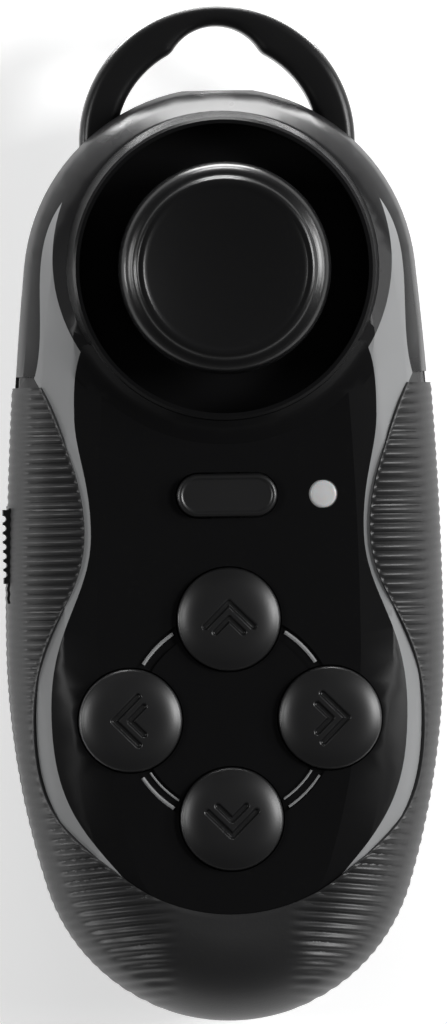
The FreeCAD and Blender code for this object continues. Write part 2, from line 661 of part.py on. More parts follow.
def loop_passage():
    """Room in both shells for the arms of the loop."""
    arms = loop_ring(LOOP_LOW_Z - TOUCH, LOOP_HIGH_Z + TOUCH)
    inner_wall = HEAD_R - WALL - TOUCH
    return arms.cut(post(inner_wall, 0, HEAD_Y, 0, FAR))


# Thumb pad and its mechanism

def joystick_cap():
    dish_z = PAD_TOP_Z - PAD_DISH
    inner_r = PAD_R - PAD_WALL
    ceiling = dish_z - PAD_THICK
    pad = turned([(0, ceiling), (inner_r, ceiling), (inner_r, PAD_FOOT_Z), (PAD_R, PAD_FOOT_Z),
                  (PAD_R, PAD_SIDE_Z), (PAD_TOP_R, PAD_TOP_Z), (PAD_DISH_R, PAD_TOP_Z),
                  (PAD_FLOOR_R, dish_z), (0, dish_z)], 0, STICK_Y)
    hub = post(HUB_R, 0, STICK_Y, HUB_FOOT_Z, ceiling + ROOT_DEPTH)
    return pad.fuse(hub).cut(post(STEM_HEAD_R, 0, STICK_Y, HUB_FOOT_Z - 1, STEM_TOP_Z))


def joystick_stem():
    foot_z = PIVOT_Z - STEM_FOOT_DROP
    neck = STEM_HEAD_R - STEM_R
    stem = turned([(0, foot_z), (STEM_FOOT_R, foot_z), (STEM_FOOT_R, foot_z + STEM_FOOT_THICK),
                   (STEM_R, foot_z + STEM_FOOT_THICK), (STEM_R, STEM_STEP_Z - neck),
                   (STEM_HEAD_R, STEM_STEP_Z), (STEM_HEAD_R, STEM_TOP_Z), (0, STEM_TOP_Z)],
                  0, STICK_Y)
    reach = V(0, ARM_HALF_Y, 0)
    return stem.fuse(bar(STEM_PIN_R, PIVOT - reach, PIVOT + reach))


def joystick_arm():
    """Yoke that tilts about X and carries the stem's cross pin."""
    x, y, z = PIVOT
    yoke = block(-ARM_HALF_X, ARM_HALF_X, y - ARM_HALF_Y, y + ARM_HALF_Y,
                 z - ARM_HALF_Z, z + ARM_HALF_Z)
    yoke = yoke.cut(block(-ARM_SLOT_X, ARM_SLOT_X, y - ARM_SLOT_Y, y + ARM_SLOT_Y, 0, FAR))
    sensor_end = FRAME_HALF + SENSOR_THICK * AXLE_IN_SENSOR
    axle_end = FRAME_HALF + AXLE_END
    yoke = yoke.fuse(bar(AXLE_R, V(-sensor_end, y, z), V(-ARM_HALF_X, y, z)))
    yoke = yoke.fuse(bar(AXLE_R, V(ARM_HALF_X, y, z), V(axle_end, y, z)))
    reach = V(0, 2 * ARM_HALF_Y, 0)
    return yoke.cut(bar(STEM_PIN_R + AXLE_FIT, PIVOT - reach, PIVOT + reach))


def joystick_bail():
    """Slotted arch over the yoke. It tilts about Y and follows the stem sideways."""
    x, y, z = PIVOT
    half = V(BAIL_HALF_X, 0, 0)
    arch = bar(BAIL_OUTER_R, PIVOT - half, PIVOT + half)
    arch = arch.cut(bar(BAIL_INNER_R, PIVOT - half * 2, PIVOT + half * 2))
    arch = arch.cut(block(-FAR, FAR, -FAR, FAR, 0, z - AXLE_R))
    slot = STEM_R + FIT
    arch = arch.cut(block(-slot, slot, y - BAIL_SLOT_Y, y + BAIL_SLOT_Y, z, FAR))
    leg = BAIL_INNER_R + (BAIL_OUTER_R - BAIL_INNER_R) / 2
    sensor_end = FRAME_HALF + SENSOR_THICK * AXLE_IN_SENSOR
    axle_end = FRAME_HALF + AXLE_END
    arch = arch.fuse(bar(AXLE_R, V(0, y - sensor_end, z), V(0, y - leg, z)))
    return arch.fuse(bar(AXLE_R, V(0, y + leg, z), V(0, y + axle_end, z)))


def axle_holes():
    reach = FRAME_HALF * 2
    hole_r = AXLE_R + AXLE_FIT
    along_x = bar(hole_r, PIVOT - V(reach, 0, 0), PIVOT + V(reach, 0, 0))
    return along_x.fuse(bar(hole_r, PIVOT - V(0, reach, 0), PIVOT + V(0, reach, 0)))


def joystick_frame():
    foot = BOARD_TOP_Z + BASE_THICK
    inner = FRAME_HALF - FRAME_WALL
    can = block(-FRAME_HALF, FRAME_HALF, STICK_Y - FRAME_HALF, STICK_Y + FRAME_HALF,
                foot, FRAME_TOP_Z)
    can = can.cut(block(-inner, inner, STICK_Y - inner, STICK_Y + inner, foot - 1,
                        FRAME_TOP_Z - FRAME_WALL))
    can = can.cut(post(FRAME_MOUTH_R, 0, STICK_Y, foot, FAR))
    return can.cut(axle_holes())


def joystick_base():
    foot = BOARD_TOP_Z
    base = block(-FRAME_HALF, FRAME_HALF, STICK_Y - FRAME_HALF, STICK_Y + FRAME_HALF,
                 foot, foot + BASE_THICK)
    inner = FRAME_HALF - FRAME_WALL - TOUCH
    plug = block(-inner, inner, STICK_Y - inner, STICK_Y + inner, foot,
                 foot + BASE_THICK + FRAME_WALL)
    well_r = COIL_R + 2 * COIL_WIRE + ARM_HALF_X
    plug = plug.cut(post(well_r, 0, STICK_Y, foot, FAR))
    return base.fuse(plug)


def joystick_spring():
    foot = BOARD_TOP_Z + BASE_THICK + COIL_WIRE / 2 + TOUCH
    height = PIVOT_Z - STEM_FOOT_DROP - COIL_WIRE / 2 - TOUCH - foot
    return coil(foot, COIL_R, height, COIL_TURNS, COIL_WIRE)


def sensor(side):
    """Turn sensor on the frame's left wall, or on its rear wall."""
    body = block(-SENSOR_REACH, SENSOR_THICK - SENSOR_REACH, -SENSOR_HALF, SENSOR_HALF,
                 BOARD_TOP_Z, SENSOR_TOP_Z)
    if not side:
        body.rotate(ORIGIN, Z_AXIS, 90)
    body.translate(V(0, STICK_Y, 0))
    return body.cut(axle_holes())


# Board, dome sheet and electronics

def main_pcb():
    outline = Part.Face(body_outline(WALL + BOARD_GAP, BOARD_Z))
    board = outline.extrude(V(0, 0, BOARD_THICK))
    tools = [block(-FAR, FAR, -FAR, BOARD_TAIL_Y, 0, FAR)]
    for x, y in CASE_SCREWS:
        tools.append(post(BOSS_R + 2 * FIT, x, y, 0, FAR))
    for x, y in BOARD_SCREWS:
        tools.append(post(SMALL_SCREW_R + TOUCH, x, y, 0, FAR))
    for tool in tools:
        board = board.cut(tool)
    return board


def button_membrane():
    x, r = SHEET_HALF_WIDTH, SHEET_CORNER_R
    sheet = block(-x, x, SHEET_REAR_Y, SHEET_FRONT_Y, BOARD_TOP_Z, SHEET_TOP_Z)
    corners = [edge for edge in sheet.Edges if edge.BoundBox.ZLength > SHEET_THICK / 2
               and edge.CenterOfMass.y < 0]
    sheet = sheet.makeFillet(r, corners)
    for name, key_x, key_y in face_keys():
        sheet = sheet.fuse(post(DOME_R, key_x, key_y, SHEET_TOP_Z, DOME_TOP_Z))
    sheet = sheet.fuse(post(START_DOME_R, 0, START_Y, SHEET_TOP_Z, DOME_TOP_Z))
    for post_x, post_y in BOARD_SCREWS:
        sheet = sheet.cut(post(POST_R + FIT, post_x, post_y, 0, FAR))
    sheet = sheet.cut(post(LAMP_R + 1, LAMP_X, LAMP_Y, 0, FAR))
    room = switch_box(2 * FIT)
    return sheet.cut(room)


def led_lens():
    foot = BOARD_TOP_Z + LED_HEIGHT + 2 * FIT
    return post(LAMP_R, LAMP_X, LAMP_Y, foot, DECK_Z)


def status_led():
    return block(LAMP_X - LAMP_R, LAMP_X + LAMP_R, LAMP_Y - LED_HALF_WIDTH,
                 LAMP_Y + LED_HALF_WIDTH, BOARD_TOP_Z, BOARD_TOP_Z + LED_HEIGHT)


def board_part(sizes):
    x, y, length, width, height = sizes
    return block(x - length / 2, x + length / 2, y - width / 2, y + width / 2,
                 BOARD_TOP_Z, BOARD_TOP_Z + height)


# Slide switch

def slide_recess():
    """Window in the grip and the wall for the knob, and the slot for its neck."""
    half = KNOB_LENGTH / 2 + FIT
    high = KNOB_HEIGHT / 2 + FIT
    window = block(-FAR, KNOB_BACK_X + TOUCH, SLIDE_Y - half - SLIDE_TRAVEL, SLIDE_Y + half,
                   SLIDE_Z - high, SLIDE_Z + high)
    neck_half = NECK_LENGTH / 2 + FIT
    neck_high = NECK_HEIGHT / 2 + FIT
    slot = block(-FAR, SWITCH_BACK_X, SLIDE_Y - neck_half - SLIDE_TRAVEL, SLIDE_Y + neck_half,
                 SLIDE_Z - neck_high, SLIDE_Z + neck_high)
    return [window, slot]


def mode_switch_knob():
    half = KNOB_LENGTH / 2
    knob = block(KNOB_FACE_X, KNOB_BACK_X, SLIDE_Y - half, SLIDE_Y + half,
                 SLIDE_Z - KNOB_HEIGHT / 2, SLIDE_Z + KNOB_HEIGHT / 2)
    pitch = KNOB_LENGTH / (KNOB_GROOVES + 1)
    for row in range(KNOB_GROOVES):
        y = SLIDE_Y - half + pitch * (row + 1)
        groove = Part.makeCylinder(KNOB_GROOVE_DEPTH, KNOB_HEIGHT,
                                   V(KNOB_FACE_X, y, SLIDE_Z - KNOB_HEIGHT / 2))
        knob = knob.cut(groove)
    neck = block(KNOB_BACK_X, SWITCH_FACE_X + SWITCH_SHELL, SLIDE_Y - NECK_LENGTH / 2,
                 SLIDE_Y + NECK_LENGTH / 2, SLIDE_Z - NECK_HEIGHT / 2, SLIDE_Z + NECK_HEIGHT / 2)
    return knob.fuse(neck)


def mode_switch_slider():
    half = NECK_LENGTH / 2
    near = SWITCH_FACE_X + SWITCH_SHELL
    return block(near, near + SLIDER_DEPTH, SLIDE_Y - half, SLIDE_Y + half,
                 SLIDE_Z - NECK_HEIGHT / 2, SLIDE_Z + NECK_HEIGHT / 2)


def switch_box(spread):
    middle = SLIDE_Y - SLIDE_TRAVEL / 2
    half = SWITCH_LENGTH / 2 + spread
    return block(SWITCH_FACE_X - spread, SWITCH_BACK_X + spread, middle - half, middle + half,
                 BOARD_TOP_Z, SWITCH_TOP_Z + spread)


def mode_switch_body():
    neck_half = NECK_LENGTH / 2 + FIT
    neck_high = NECK_HEIGHT / 2 + FIT
    room = block(-FAR, SWITCH_BACK_X - SWITCH_SHELL, SLIDE_Y - neck_half - SLIDE_TRAVEL,
                 SLIDE_Y + neck_half, SLIDE_Z - neck_high, SLIDE_Z + neck_high)
    return switch_box(0).cut(room)


# Finger keys under the head

def hinge_pin(hinge_y):
    reach = TRIGGER_WIDTH / 2 + EAR_GAP + EAR_WALL
    return bar(HINGE_PIN_R, V(-reach, hinge_y, HINGE_Z), V(reach, hinge_y, HINGE_Z))


def finger_top():
    swing = math.radians(TRIGGER_SWING)
    return push_foot() - (FINGER_REACH + FINGER_WIDTH / 2) * math.sin(swing) - TOUCH


def push_foot():
    return BOARD_Z - PUSH_BODY_THICK - PUSH_STROKE


def trigger(hinge_y):
    """Side view of the key drawn along Y and Z, then rounded across its width."""
    half = TRIGGER_WIDTH / 2
    rear = hinge_y - TRIGGER_REACH
    arm_foot = UNDER_INNER_Z + TOUCH
    front = hinge_y + HINGE_R
    at = [V(0, front, HINGE_Z), V(0, front, UNDER_Z), V(0, rear, TRIGGER_FOOT_Z + TRIGGER_TIP),
          V(0, rear, arm_foot), V(0, rear - TRIGGER_STOP, arm_foot),
          V(0, rear - TRIGGER_STOP, TRIGGER_ARM_TOP_Z), V(0, hinge_y, TRIGGER_ARM_TOP_Z)]
    belly = V(0, hinge_y - TRIGGER_REACH * TRIGGER_BELLY, TRIGGER_FOOT_Z)
    edges = [Part.LineSegment(at[0], at[1]).toShape(), Part.Arc(at[1], belly, at[2]).toShape()]
    for first, second in zip(at[2:], at[3:] + at[:1]):
        edges.append(Part.LineSegment(first, second).toShape())
    side = Part.Face(Part.Wire(edges)).extrude(V(TRIGGER_WIDTH, 0, 0))
    side.translate(V(-half, 0, 0))
    hub = bar(HINGE_R, V(-half, hinge_y, HINGE_Z), V(half, hinge_y, HINGE_Z))
    finger = block(-FINGER_WIDTH / 2, FINGER_WIDTH / 2, hinge_y - FINGER_REACH - FINGER_WIDTH / 2,
                   hinge_y - FINGER_REACH + FINGER_WIDTH / 2, TRIGGER_ARM_TOP_Z - ROOT_DEPTH,
                   finger_top())
    key = joined([side, hub, finger])
    across = block(-half, half, -FAR, FAR, TRIGGER_FOOT_Z - ROOT_DEPTH, FAR)
    lower = [edge for edge in across.Edges if edge.BoundBox.YLength > FAR
             and edge.CenterOfMass.z < PARTING_Z]
    key = key.common(across.makeFillet(TRIGGER_CORNER_R, lower))
    hole = bar(HINGE_PIN_R + AXLE_FIT, V(-FAR, hinge_y, HINGE_Z), V(FAR, hinge_y, HINGE_Z))
    return key.cut(hole)


def trigger_switch(hinge_y):
    y = hinge_y - FINGER_REACH
    half = PUSH_BODY / 2
    body = block(-half, half, y - half, y + half, BOARD_Z - PUSH_BODY_THICK, BOARD_Z)
    return body.fuse(post(PUSH_PLUNGER_R, 0, y, push_foot(), BOARD_Z - PUSH_BODY_THICK))


# Cells and contacts

def cell(side):
    """One AAA cell. The left one points its plus end to the rear, the right one to the front."""
    shoulder = CELL_LENGTH - CELL_NUB_HEIGHT
    body = turned([(0, 0), (CELL_R - CELL_EDGE, 0), (CELL_R, CELL_EDGE),
                   (CELL_R, shoulder - 2 * CELL_EDGE), (CELL_R - 2 * CELL_EDGE, shoulder),
                   (CELL_NUB_R, shoulder), (CELL_NUB_R, CELL_LENGTH), (0, CELL_LENGTH)], 0, 0)
    if side > 0:
        body.rotate(ORIGIN, X_AXIS, -90)
        y = BAY_FRONT_Y - CONTACT_THICK - 2 * TOUCH - CELL_LENGTH
    else:
        body.rotate(ORIGIN, X_AXIS, 90)
        y = BAY_REAR_Y + CONTACT_THICK + 2 * TOUCH + CELL_LENGTH
    body.translate(V(side * CELL_X, y, CELL_Z))
    return body


def contact_plate(x0, x1, y0):
    high = CELL_R * CONTACT_SHARE
    return block(x0, x1, y0, y0 + CONTACT_THICK, CELL_Z - high, CELL_Z + high)


def contact_leaf(side):
    """Folded leaf that presses on the minus end of a cell."""
    high = CELL_R * CONTACT_SHARE
    bend = LEAF_TOUCH - CONTACT_THICK / 2
    outline = [(0, -high), (LEAF_REACH, -LEAF_TOUCH), (LEAF_REACH, LEAF_TOUCH), (LEAF_END, high),
               (LEAF_END - CONTACT_THICK, high - CONTACT_THICK), (LEAF_REACH - CONTACT_THICK, bend),
               (LEAF_REACH - CONTACT_THICK, -bend), (0, CONTACT_THICK * LEAF_SLANT - high)]
    outline.append(outline[0])
    if side > 0:
        foot_y = BAY_REAR_Y + TOUCH + CONTACT_THICK
    else:
        foot_y = BAY_FRONT_Y - TOUCH - CONTACT_THICK
    left = side * CELL_X - LEAF_WIDTH / 2
    edge = Part.makePolygon([V(left, foot_y + side * reach, CELL_Z + z) for reach, z in outline])
    return Part.Face(edge).extrude(V(LEAF_WIDTH, 0, 0))


def battery_bridge():
    reach = CELL_X + CELL_R * CONTACT_SHARE
    plate = contact_plate(-reach, reach, BAY_REAR_Y + TOUCH)
    return plate.fuse(contact_leaf(1))


def battery_contact(side):
    near, away = CELL_X - CELL_R * CONTACT_SHARE, CELL_X + CELL_R * CONTACT_SHARE
    x0, x1 = sorted([side * near, side * away])
    plate = contact_plate(x0, x1, BAY_FRONT_Y - TOUCH - CONTACT_THICK)
    if side > 0:
        return plate
    return plate.fuse(contact_leaf(-1))


# Screws

def case_screws():
    screws = []
    for x, y in CASE_SCREWS:
        head = post(SCREW_HEAD_R, x, y, SCREW_SEAT_Z - SCREW_HEAD, SCREW_SEAT_Z)
        screws.append(head.fuse(post(SCREW_R, x, y, SCREW_SEAT_Z, SCREW_SEAT_Z + SCREW_LENGTH)))
    return Part.makeCompound(screws)


def board_screws():
    screws = []
    for x, y in BOARD_SCREWS:
        head = post(SMALL_HEAD_R, x, y, BOARD_Z - SMALL_HEAD, BOARD_Z)
        screws.append(head.fuse(post(SMALL_SCREW_R, x, y, BOARD_Z, BOARD_Z + SMALL_LENGTH)))
    return Part.makeCompound(screws)


def assembly():
    """Every piece of the remote by name."""
    left, right = trim_strips()
    pieces = {
        "upper_housing": upper_housing(),
        "lower_housing": lower_housing(),
        "face_plate": face_plate(),
        "trim_strip_left": left,
        "trim_strip_right": right,
        "grip_upper": grip_upper(),
        "grip_lower": grip_lower(),
        "lanyard_loop": lanyard_loop(),
        "battery_cover": battery_cover(),
        "joystick_cap": joystick_cap(),
        "joystick_stem": joystick_stem(),
        "joystick_arm": joystick_arm(),
        "joystick_bail": joystick_bail(),
        "joystick_frame": joystick_frame(),
        "joystick_base": joystick_base(),
        "joystick_spring": joystick_spring(),
        "joystick_sensor_side": sensor(True),
        "joystick_sensor_rear": sensor(False),
        "start_button": start_key(),
        "button_membrane": button_membrane(),
        "led_lens": led_lens(),
        "status_led": status_led(),
        "main_pcb": main_pcb(),
        "radio_chip": board_part(CHIP),
        "crystal": board_part(CRYSTAL),
        "mode_switch_knob": mode_switch_knob(),
        "mode_switch_slider": mode_switch_slider(),
        "mode_switch_body": mode_switch_body(),
        "trigger_pins": Part.makeCompound([hinge_pin(y) for y in TRIGGER_HINGES_Y]),
        "cell_left": cell(-1),
        "cell_right": cell(1),
        "battery_bridge": battery_bridge(),
        "battery_contact_positive": battery_contact(1),
        "battery_contact_negative": battery_contact(-1),
        "case_screws": case_screws(),
        "pcb_screws": board_screws(),
    }
    for name, x, y in face_keys():
        pieces[name] = face_key(x, y)
    for name, hinge_y in zip(("upper", "lower"), TRIGGER_HINGES_Y):
        pieces["trigger_" + name] = trigger(hinge_y)
        pieces["trigger_switch_" + name] = trigger_switch(hinge_y)
    return pieces


os.makedirs("parts", exist_ok=True)
for node, shape in assembly().items():
    if not shape.isValid():
        print("not valid:", node)
    shape.exportStep("parts/%s.step" % node)
    box = shape.BoundBox
    print("%-26s solids %d  x %.2f %.2f  y %.2f %.2f  z %.2f %.2f" % (
        node, len(shape.Solids), box.XMin, box.XMax, box.YMin, box.YMax, box.ZMin, box.ZMax))
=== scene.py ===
import json
import math

import bmesh
import bpy
import numpy as np
from bpy.props import FloatProperty, FloatVectorProperty, IntProperty, PointerProperty
from mathutils import Matrix, Vector
from mathutils.bvhtree import BVHTree


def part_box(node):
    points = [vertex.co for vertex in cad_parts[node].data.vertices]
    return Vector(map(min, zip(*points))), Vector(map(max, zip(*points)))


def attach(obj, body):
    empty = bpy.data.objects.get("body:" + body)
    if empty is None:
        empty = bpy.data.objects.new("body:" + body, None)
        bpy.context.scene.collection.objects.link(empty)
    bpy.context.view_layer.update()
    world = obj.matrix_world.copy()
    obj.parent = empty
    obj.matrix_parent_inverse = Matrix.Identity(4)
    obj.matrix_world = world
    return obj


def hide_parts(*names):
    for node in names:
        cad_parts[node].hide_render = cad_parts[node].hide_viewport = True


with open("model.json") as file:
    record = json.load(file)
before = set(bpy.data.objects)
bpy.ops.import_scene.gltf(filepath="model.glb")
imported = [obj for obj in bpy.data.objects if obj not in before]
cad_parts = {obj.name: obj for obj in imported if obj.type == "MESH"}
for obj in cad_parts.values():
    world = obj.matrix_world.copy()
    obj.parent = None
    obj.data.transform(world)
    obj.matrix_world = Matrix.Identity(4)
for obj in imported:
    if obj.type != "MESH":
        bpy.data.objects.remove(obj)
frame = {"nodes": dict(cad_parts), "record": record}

bl_info = {
    "name": "Pocket Remote",
    "version": (1, 0, 0),
    "blender": (4, 5, 0),
    "location": "View3D > Sidebar > Remote",
    "description": "Finishes, ribbed grips, engraved keys and studio for the pocket remote",
    "category": "Object",
}

# Lengths below are millimetres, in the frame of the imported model, and meshes are made in metres.
MM = 0.001
SKIN = 0.01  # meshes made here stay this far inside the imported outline

# Plan of the body: head circle, tail circle and the two flank arcs between them
HEAD_R, HEAD_Y = 21.2, 24.7
TAIL_R, TAIL_Y = 20.0, -34.6
WIDE_X, WIDE_Y = 23.2, -13.5
DECK_Z, SHOULDER_R, BELLY_R = 25.6, 9.0, 9.0
PARTING_Z = 13.0

# Grips: outline, window for the slide switch and mesh
GRIP_PROUD, GRIP_SINK = 0.4 - SKIN, 0.8
GRIP_TOP, GRIP_BEND, LOWER_BEND = DECK_Z + GRIP_PROUD, SHOULDER_R + GRIP_PROUD, BELLY_R + GRIP_PROUD
GRIP_END_Y, LOWER_END_Y = 13.7, 1.0
GRIP_FOOT_Z, PARTING_GAP = 4.0, 0.06
EDGE_GAP, EDGE_WIDTH, EDGE_DROP = 0.03, 0.35, 0.12
SWITCH_WINDOW_Y = (-9.55, 0.75)
SWITCH_WINDOW_Z = (15.45, 18.55)
SPLIT_INSET = 1.1  # the section is cut by insets as far as this one, and by heights below it
INSET_COLUMNS, LOWER_ROWS, ROW_STEP = 46, 34, 0.4
TURN_START_Y, TURN_END_Y = -14.0, -40.0  # the stations' lines turn towards the tail's middle here
FARTHEST_INSET = 16.0
PROBE_Z, PROBE_START, PROBE_STEP, PROBE_END = 60, 0.5, 0.4, 15

# Rib pattern: bowed and drawn together towards the tail, faint on the shoulder, and none in
# the middle of the tail
RIB_SHAPE, LOWER_RIB_SHARE = 1.5, 0.8
RIB_BOW, BOW_Y = 0.005, (-20.0, -50.0)
RIB_DRAW, DRAW_Y = 0.05, (-15.0, -45.0)
SHOULDER_SHARE, SHOULDER_INSET = 0.3, (0.9, 2.0)
SMOOTH_TAIL_Y, SMOOTH_TAIL_X = -40.0, (5.5, 9.5)

# Round keys, with the tip, half width and trailing end of each engraved chevron
KEY_R, KEY_EDGE, KEY_CROWN, KEY_TOP_Z = 5.57, 0.5, 0.6, 27.1
KEY_FOOT_Z, KEY_RINGS, KEY_STEPS, CROWN_POWER = 19.1, 62, 200, 4
STOP_TOP_Z, STOP_THICK, STOP_REACH, STOP_WIDTH = 23.35, 1.0, 0.9, 3.0
KEY_RING_R, KEY_RING_Y = 10.75, -22.3
CHEVRONS = ((1.8, 2.6, -0.8), (0.1, 1.5, -1.4))
GROOVE_SOFT = 0.13

# Light grey ridges of the ring between the round keys, which paint the highlights of its groove's lit
# edges: radius, width and middle in degrees
RING_FLOOR_Z, LINE_SINK, LINE_SIDE, LINE_TOP = 25.3, 0.1, 0.12, 0.2
LINE_SPAN, LINE_STEPS = 24, 16
RING_HIGHLIGHTS = {
    "upper_right": (11.05, 0.4, 45), "upper_left": (11.05, 0.36, 135),
    "lower_left": (11.35, 0.4, 225), "lower_left_inner": (10.35, 0.22, 225),
    "lower_right": (11.35, 0.26, 315), "lower_right_inner": (10.35, 0.22, 315),
}

# Long key and lamp window
START_LENGTH, START_WIDTH, START_Y, START_TOP_Z = 10.8, 4.65, 1.8, 26.6
START_STEPS, START_DISH = 48, 0.1
LAMP_R, LAMP_X, LAMP_Y, LAMP_STEPS = 1.5 - 0.02, 10.4, 1.8, 64
LAMP_CROWN, LAMP_CROWN_R, LAMP_RING = 0.12, 1.3, 0.25

# Thumb pad. Its bends have a start, a corner and an end, as radius and height, and a step count.
STICK_Y = 26.2
PAD_R, PAD_TOP_R, PAD_DISH_R, PAD_DISH_RINGS = 11.45, 9.5, 8.7, 24
PAD_TOP_Z, PAD_FOOT_Z, PAD_DISH, PAD_LIP = 32.7, 28.2, 0.9, 0.1
STEM_HEAD_R, STEM_TOP_Z, HUB_R, HUB_FOOT_Z = 1.7, 30.0, 3.0, 27.0
PAD_BENDS = (
    ((PAD_DISH_R + 0.1, PAD_TOP_Z - 0.05), (8.95, PAD_TOP_Z), (9.15, PAD_TOP_Z), 4),
    ((9.25, PAD_TOP_Z), (PAD_TOP_R, PAD_TOP_Z), (9.75, PAD_TOP_Z - 0.3), 4),
    ((9.95, PAD_TOP_Z - 0.55), (10.9, 31.9), (11.25, 31.0), 8),
    ((11.32, 30.85), (PAD_R, 30.55), (PAD_R, 30.1), 4),
    ((PAD_R, 29.4), (PAD_R, 29.0), (PAD_R - 0.1, 28.6), 1),
    ((PAD_R - 0.13, 28.4), (PAD_R - 0.15, PAD_FOOT_Z), (11.0, PAD_FOOT_Z), 3),
)
PAD_HOLLOW = (
    (10.3, PAD_FOOT_Z), (10.25, 28.3), (10.25, 28.8), (9.05, 30.0), (HUB_R, 30.0),
    (HUB_R, HUB_FOOT_Z), (STEM_HEAD_R, HUB_FOOT_Z), (STEM_HEAD_R, STEM_TOP_Z), (0, STEM_TOP_Z),
)

# Carry loop
LOOP_R, LOOP_Y, LOOP_FOOT_Y = 14.9 - SKIN, 40.1, 38.2
LOOP_HOLE_R, LOOP_HOLE_Y = 11.0, 39.8
BULB_R, BULB_Y, LOOP_BLEND_R = 5.5, 47.1, 2.2
LOOP_LOW_Z, LOOP_HIGH_Z = 10.4, 15.6
LUG_THICK, LUG_END_Y, LUG_REACH_Y, LUG_EDGE = 1.6, 33.2, 39.5, 0.12
LUG_HOLE_X, LUG_HOLE_Y, LUG_HOLE_R = 12.7, 36.0, 1.05

# Shading of the meshes
SMOOTH_ANGLE, SPLIT_ANGLE, WELD_GAP = math.radians(40), math.radians(32), 0.002

# Moulded finishes: roughness and its spread, scale in cycles a metre, depth in millimetres, specular
# level, wear, dust, scale of the patches and metallic share
MOULDED = {
    "case_gloss": (0.28, 0.06, 2500, 0.002, 0.12, 0, 0.02),
    "case_under": (0.5, 0.1, 3800, 0.03, 0.4, 0, 0.05),
    "face_black": (0.26, 0.05, 5200, 0.003, 0.12, 0, 0.02),
    "trim_silver": (0.45, 0.06, 7000, 0.004, 0.12),
    "grip_rubber": (0.42, 0.1, 3600, 0.02, 0.5, 0.2, 0.04),
    "loop_black": (0.3, 0.08, 3200, 0.008, 0.35, 0, 0.02),
    "pad_rubber": (0.25, 0.05, 4200, 0.006, 0.45, 0, 0.02),
    "key_black": (0.35, 0.06, 4600, 0.004, 0.55, 0.1, 0.02),
    "inner_black": (0.45, 0.1, 2600, 0.01, 0.4),
    "inner_white": (0.42, 0.1, 2600, 0.01, 0.4),
    "membrane_grey": (0.6, 0.08, 3000, 0.01, 0.3),
    "board_green": (0.3, 0.1, 1400, 0.02, 0.5, 0, 0, 500),
    "cell_wrap": (0.3, 0.06, 1800, 0.004, 0.5),
    "screw_black": (0.35, 0.15, 2400, 0.01, 0.5, 0, 0, 120, 0.8),
}

# Metals: roughness and depth in millimetres
METALS = {"tin_steel": (0.32, 0.006), "spring_steel": (0.22, 0.004)}

# Softboxes: azimuth and elevation in degrees, distance, width and height in metres, power in watts
SOFTBOXES = {
    "softbox_right": (80, 41, 0.9, 0.3, 0.2, 4.6),
    "softbox_side": (80, 22, 0.9, 0.6, 0.16, 3.6),
    "softbox_left": (-84, 41, 0.9, 0.3, 0.2, 2.2),
    "softbox_head": (0, 5, 0.7, 0.3, 0.12, 3.4),
    "strip_left": (-90, 4, 0.7, 0.2, 0.08, 1.0),
}
CARD_Y, CARD_WIDTH, CARD_HEIGHT, CARD_POWER = 0.105, 0.05, 0.09, 0.36

# Floor, world and camera
FLOOR_HALF, FLOOR_Z, FLOOR_GLOW, FLOOR_WHITE = 6.0, -0.02, 0.45, 0.88
HORIZON_UP, HORIZON_LIGHT, OVERHEAD_UP, OVERHEAD_LIGHT = 0.1, 0.25, 0.55, 0.05
CAMERA_AIM, PICTURE_HEIGHT, SENSOR_WIDTH = (0.1, 0.0, 13.0), 110.9, 36.0

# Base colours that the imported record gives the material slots
RECORDED = {entry["slot"]: entry["base_color"][:3] for entry in frame["record"]["materials"]}


# User settings

def length(label, words, size, least=0.0):
    """Setting for a length, given in millimetres."""
    return FloatProperty(name=label, description=words, default=size * MM, min=least * MM,
                         unit="LENGTH", precision=5)


class RemoteSizes(bpy.types.PropertyGroup):
    """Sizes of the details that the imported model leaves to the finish."""

    rib_pitch: length("Rib pitch", "Distance between grip ribs on the flanks", 1.0, 0.4)
    rib_depth: length("Rib depth", "Depth of the grooves between the ribs", 0.3)
    mesh_step: length("Grip mesh step", "Spacing of the grips' mesh rows", 0.17, 0.05)
    groove_width: length("Chevron width", "Width of the keys' engraved grooves", 0.55, 0.1)
    groove_depth: length("Chevron depth", "Depth of the keys' engraved grooves", 0.34)
    loop_round: length("Loop edge", "Rounding of the carry loop's edges", 1.1, 0.1)
    turn_steps: IntProperty(name="Round steps", description="Mesh steps round the thumb pad",
                            default=160, min=24)
    camera_distance: FloatProperty(name="Camera distance", description="Camera to the key face",
                                   default=2.0, min=0.2, unit="LENGTH")
    camera_lean: FloatProperty(name="Camera lean", description="Lean of the camera to the left",
                               default=math.radians(2.2), unit="ROTATION")
    camera_roll: FloatProperty(name="Camera roll", description="Roll of the picture",
                               default=math.radians(0.9), unit="ROTATION")


# Labels of the finishes' colours
COLOUR_LABELS = {
    "case_gloss": "Polished case", "case_under": "Lower case", "face_black": "Face plate",
    "trim_silver": "Trim strips", "grip_rubber": "Ribbed grips", "loop_black": "Carry loop",
    "pad_rubber": "Thumb pad", "key_black": "Keys", "lamp_window": "Lamp window",
    "inner_black": "Black inner parts", "inner_white": "Natural inner parts",
    "tin_steel": "Tinned sheet", "spring_steel": "Plated wire and strip",
    "membrane_grey": "Rubber sheet", "board_green": "Board", "cell_wrap": "Cells",
    "screw_black": "Case screws",
}


class RemoteColours(bpy.types.PropertyGroup):
    """Base colours of the finishes, one for each slot, as the record gives them."""

    __annotations__ = {
        slot: FloatVectorProperty(name=label, description="Base colour", default=RECORDED[slot],
                                  min=0.0, max=1.0, size=3, subtype="COLOR")
        for slot, label in COLOUR_LABELS.items()}


# Shader node helpers

def add_node(tree, kind, inputs=None, **settings):
    """A node with its settings made and its inputs filled by values or linked from sockets."""
    made = tree.nodes.new("ShaderNode" + kind)
    for name, value in settings.items():
        setattr(made, name, value)
    return fill_inputs(tree, made, inputs or {})


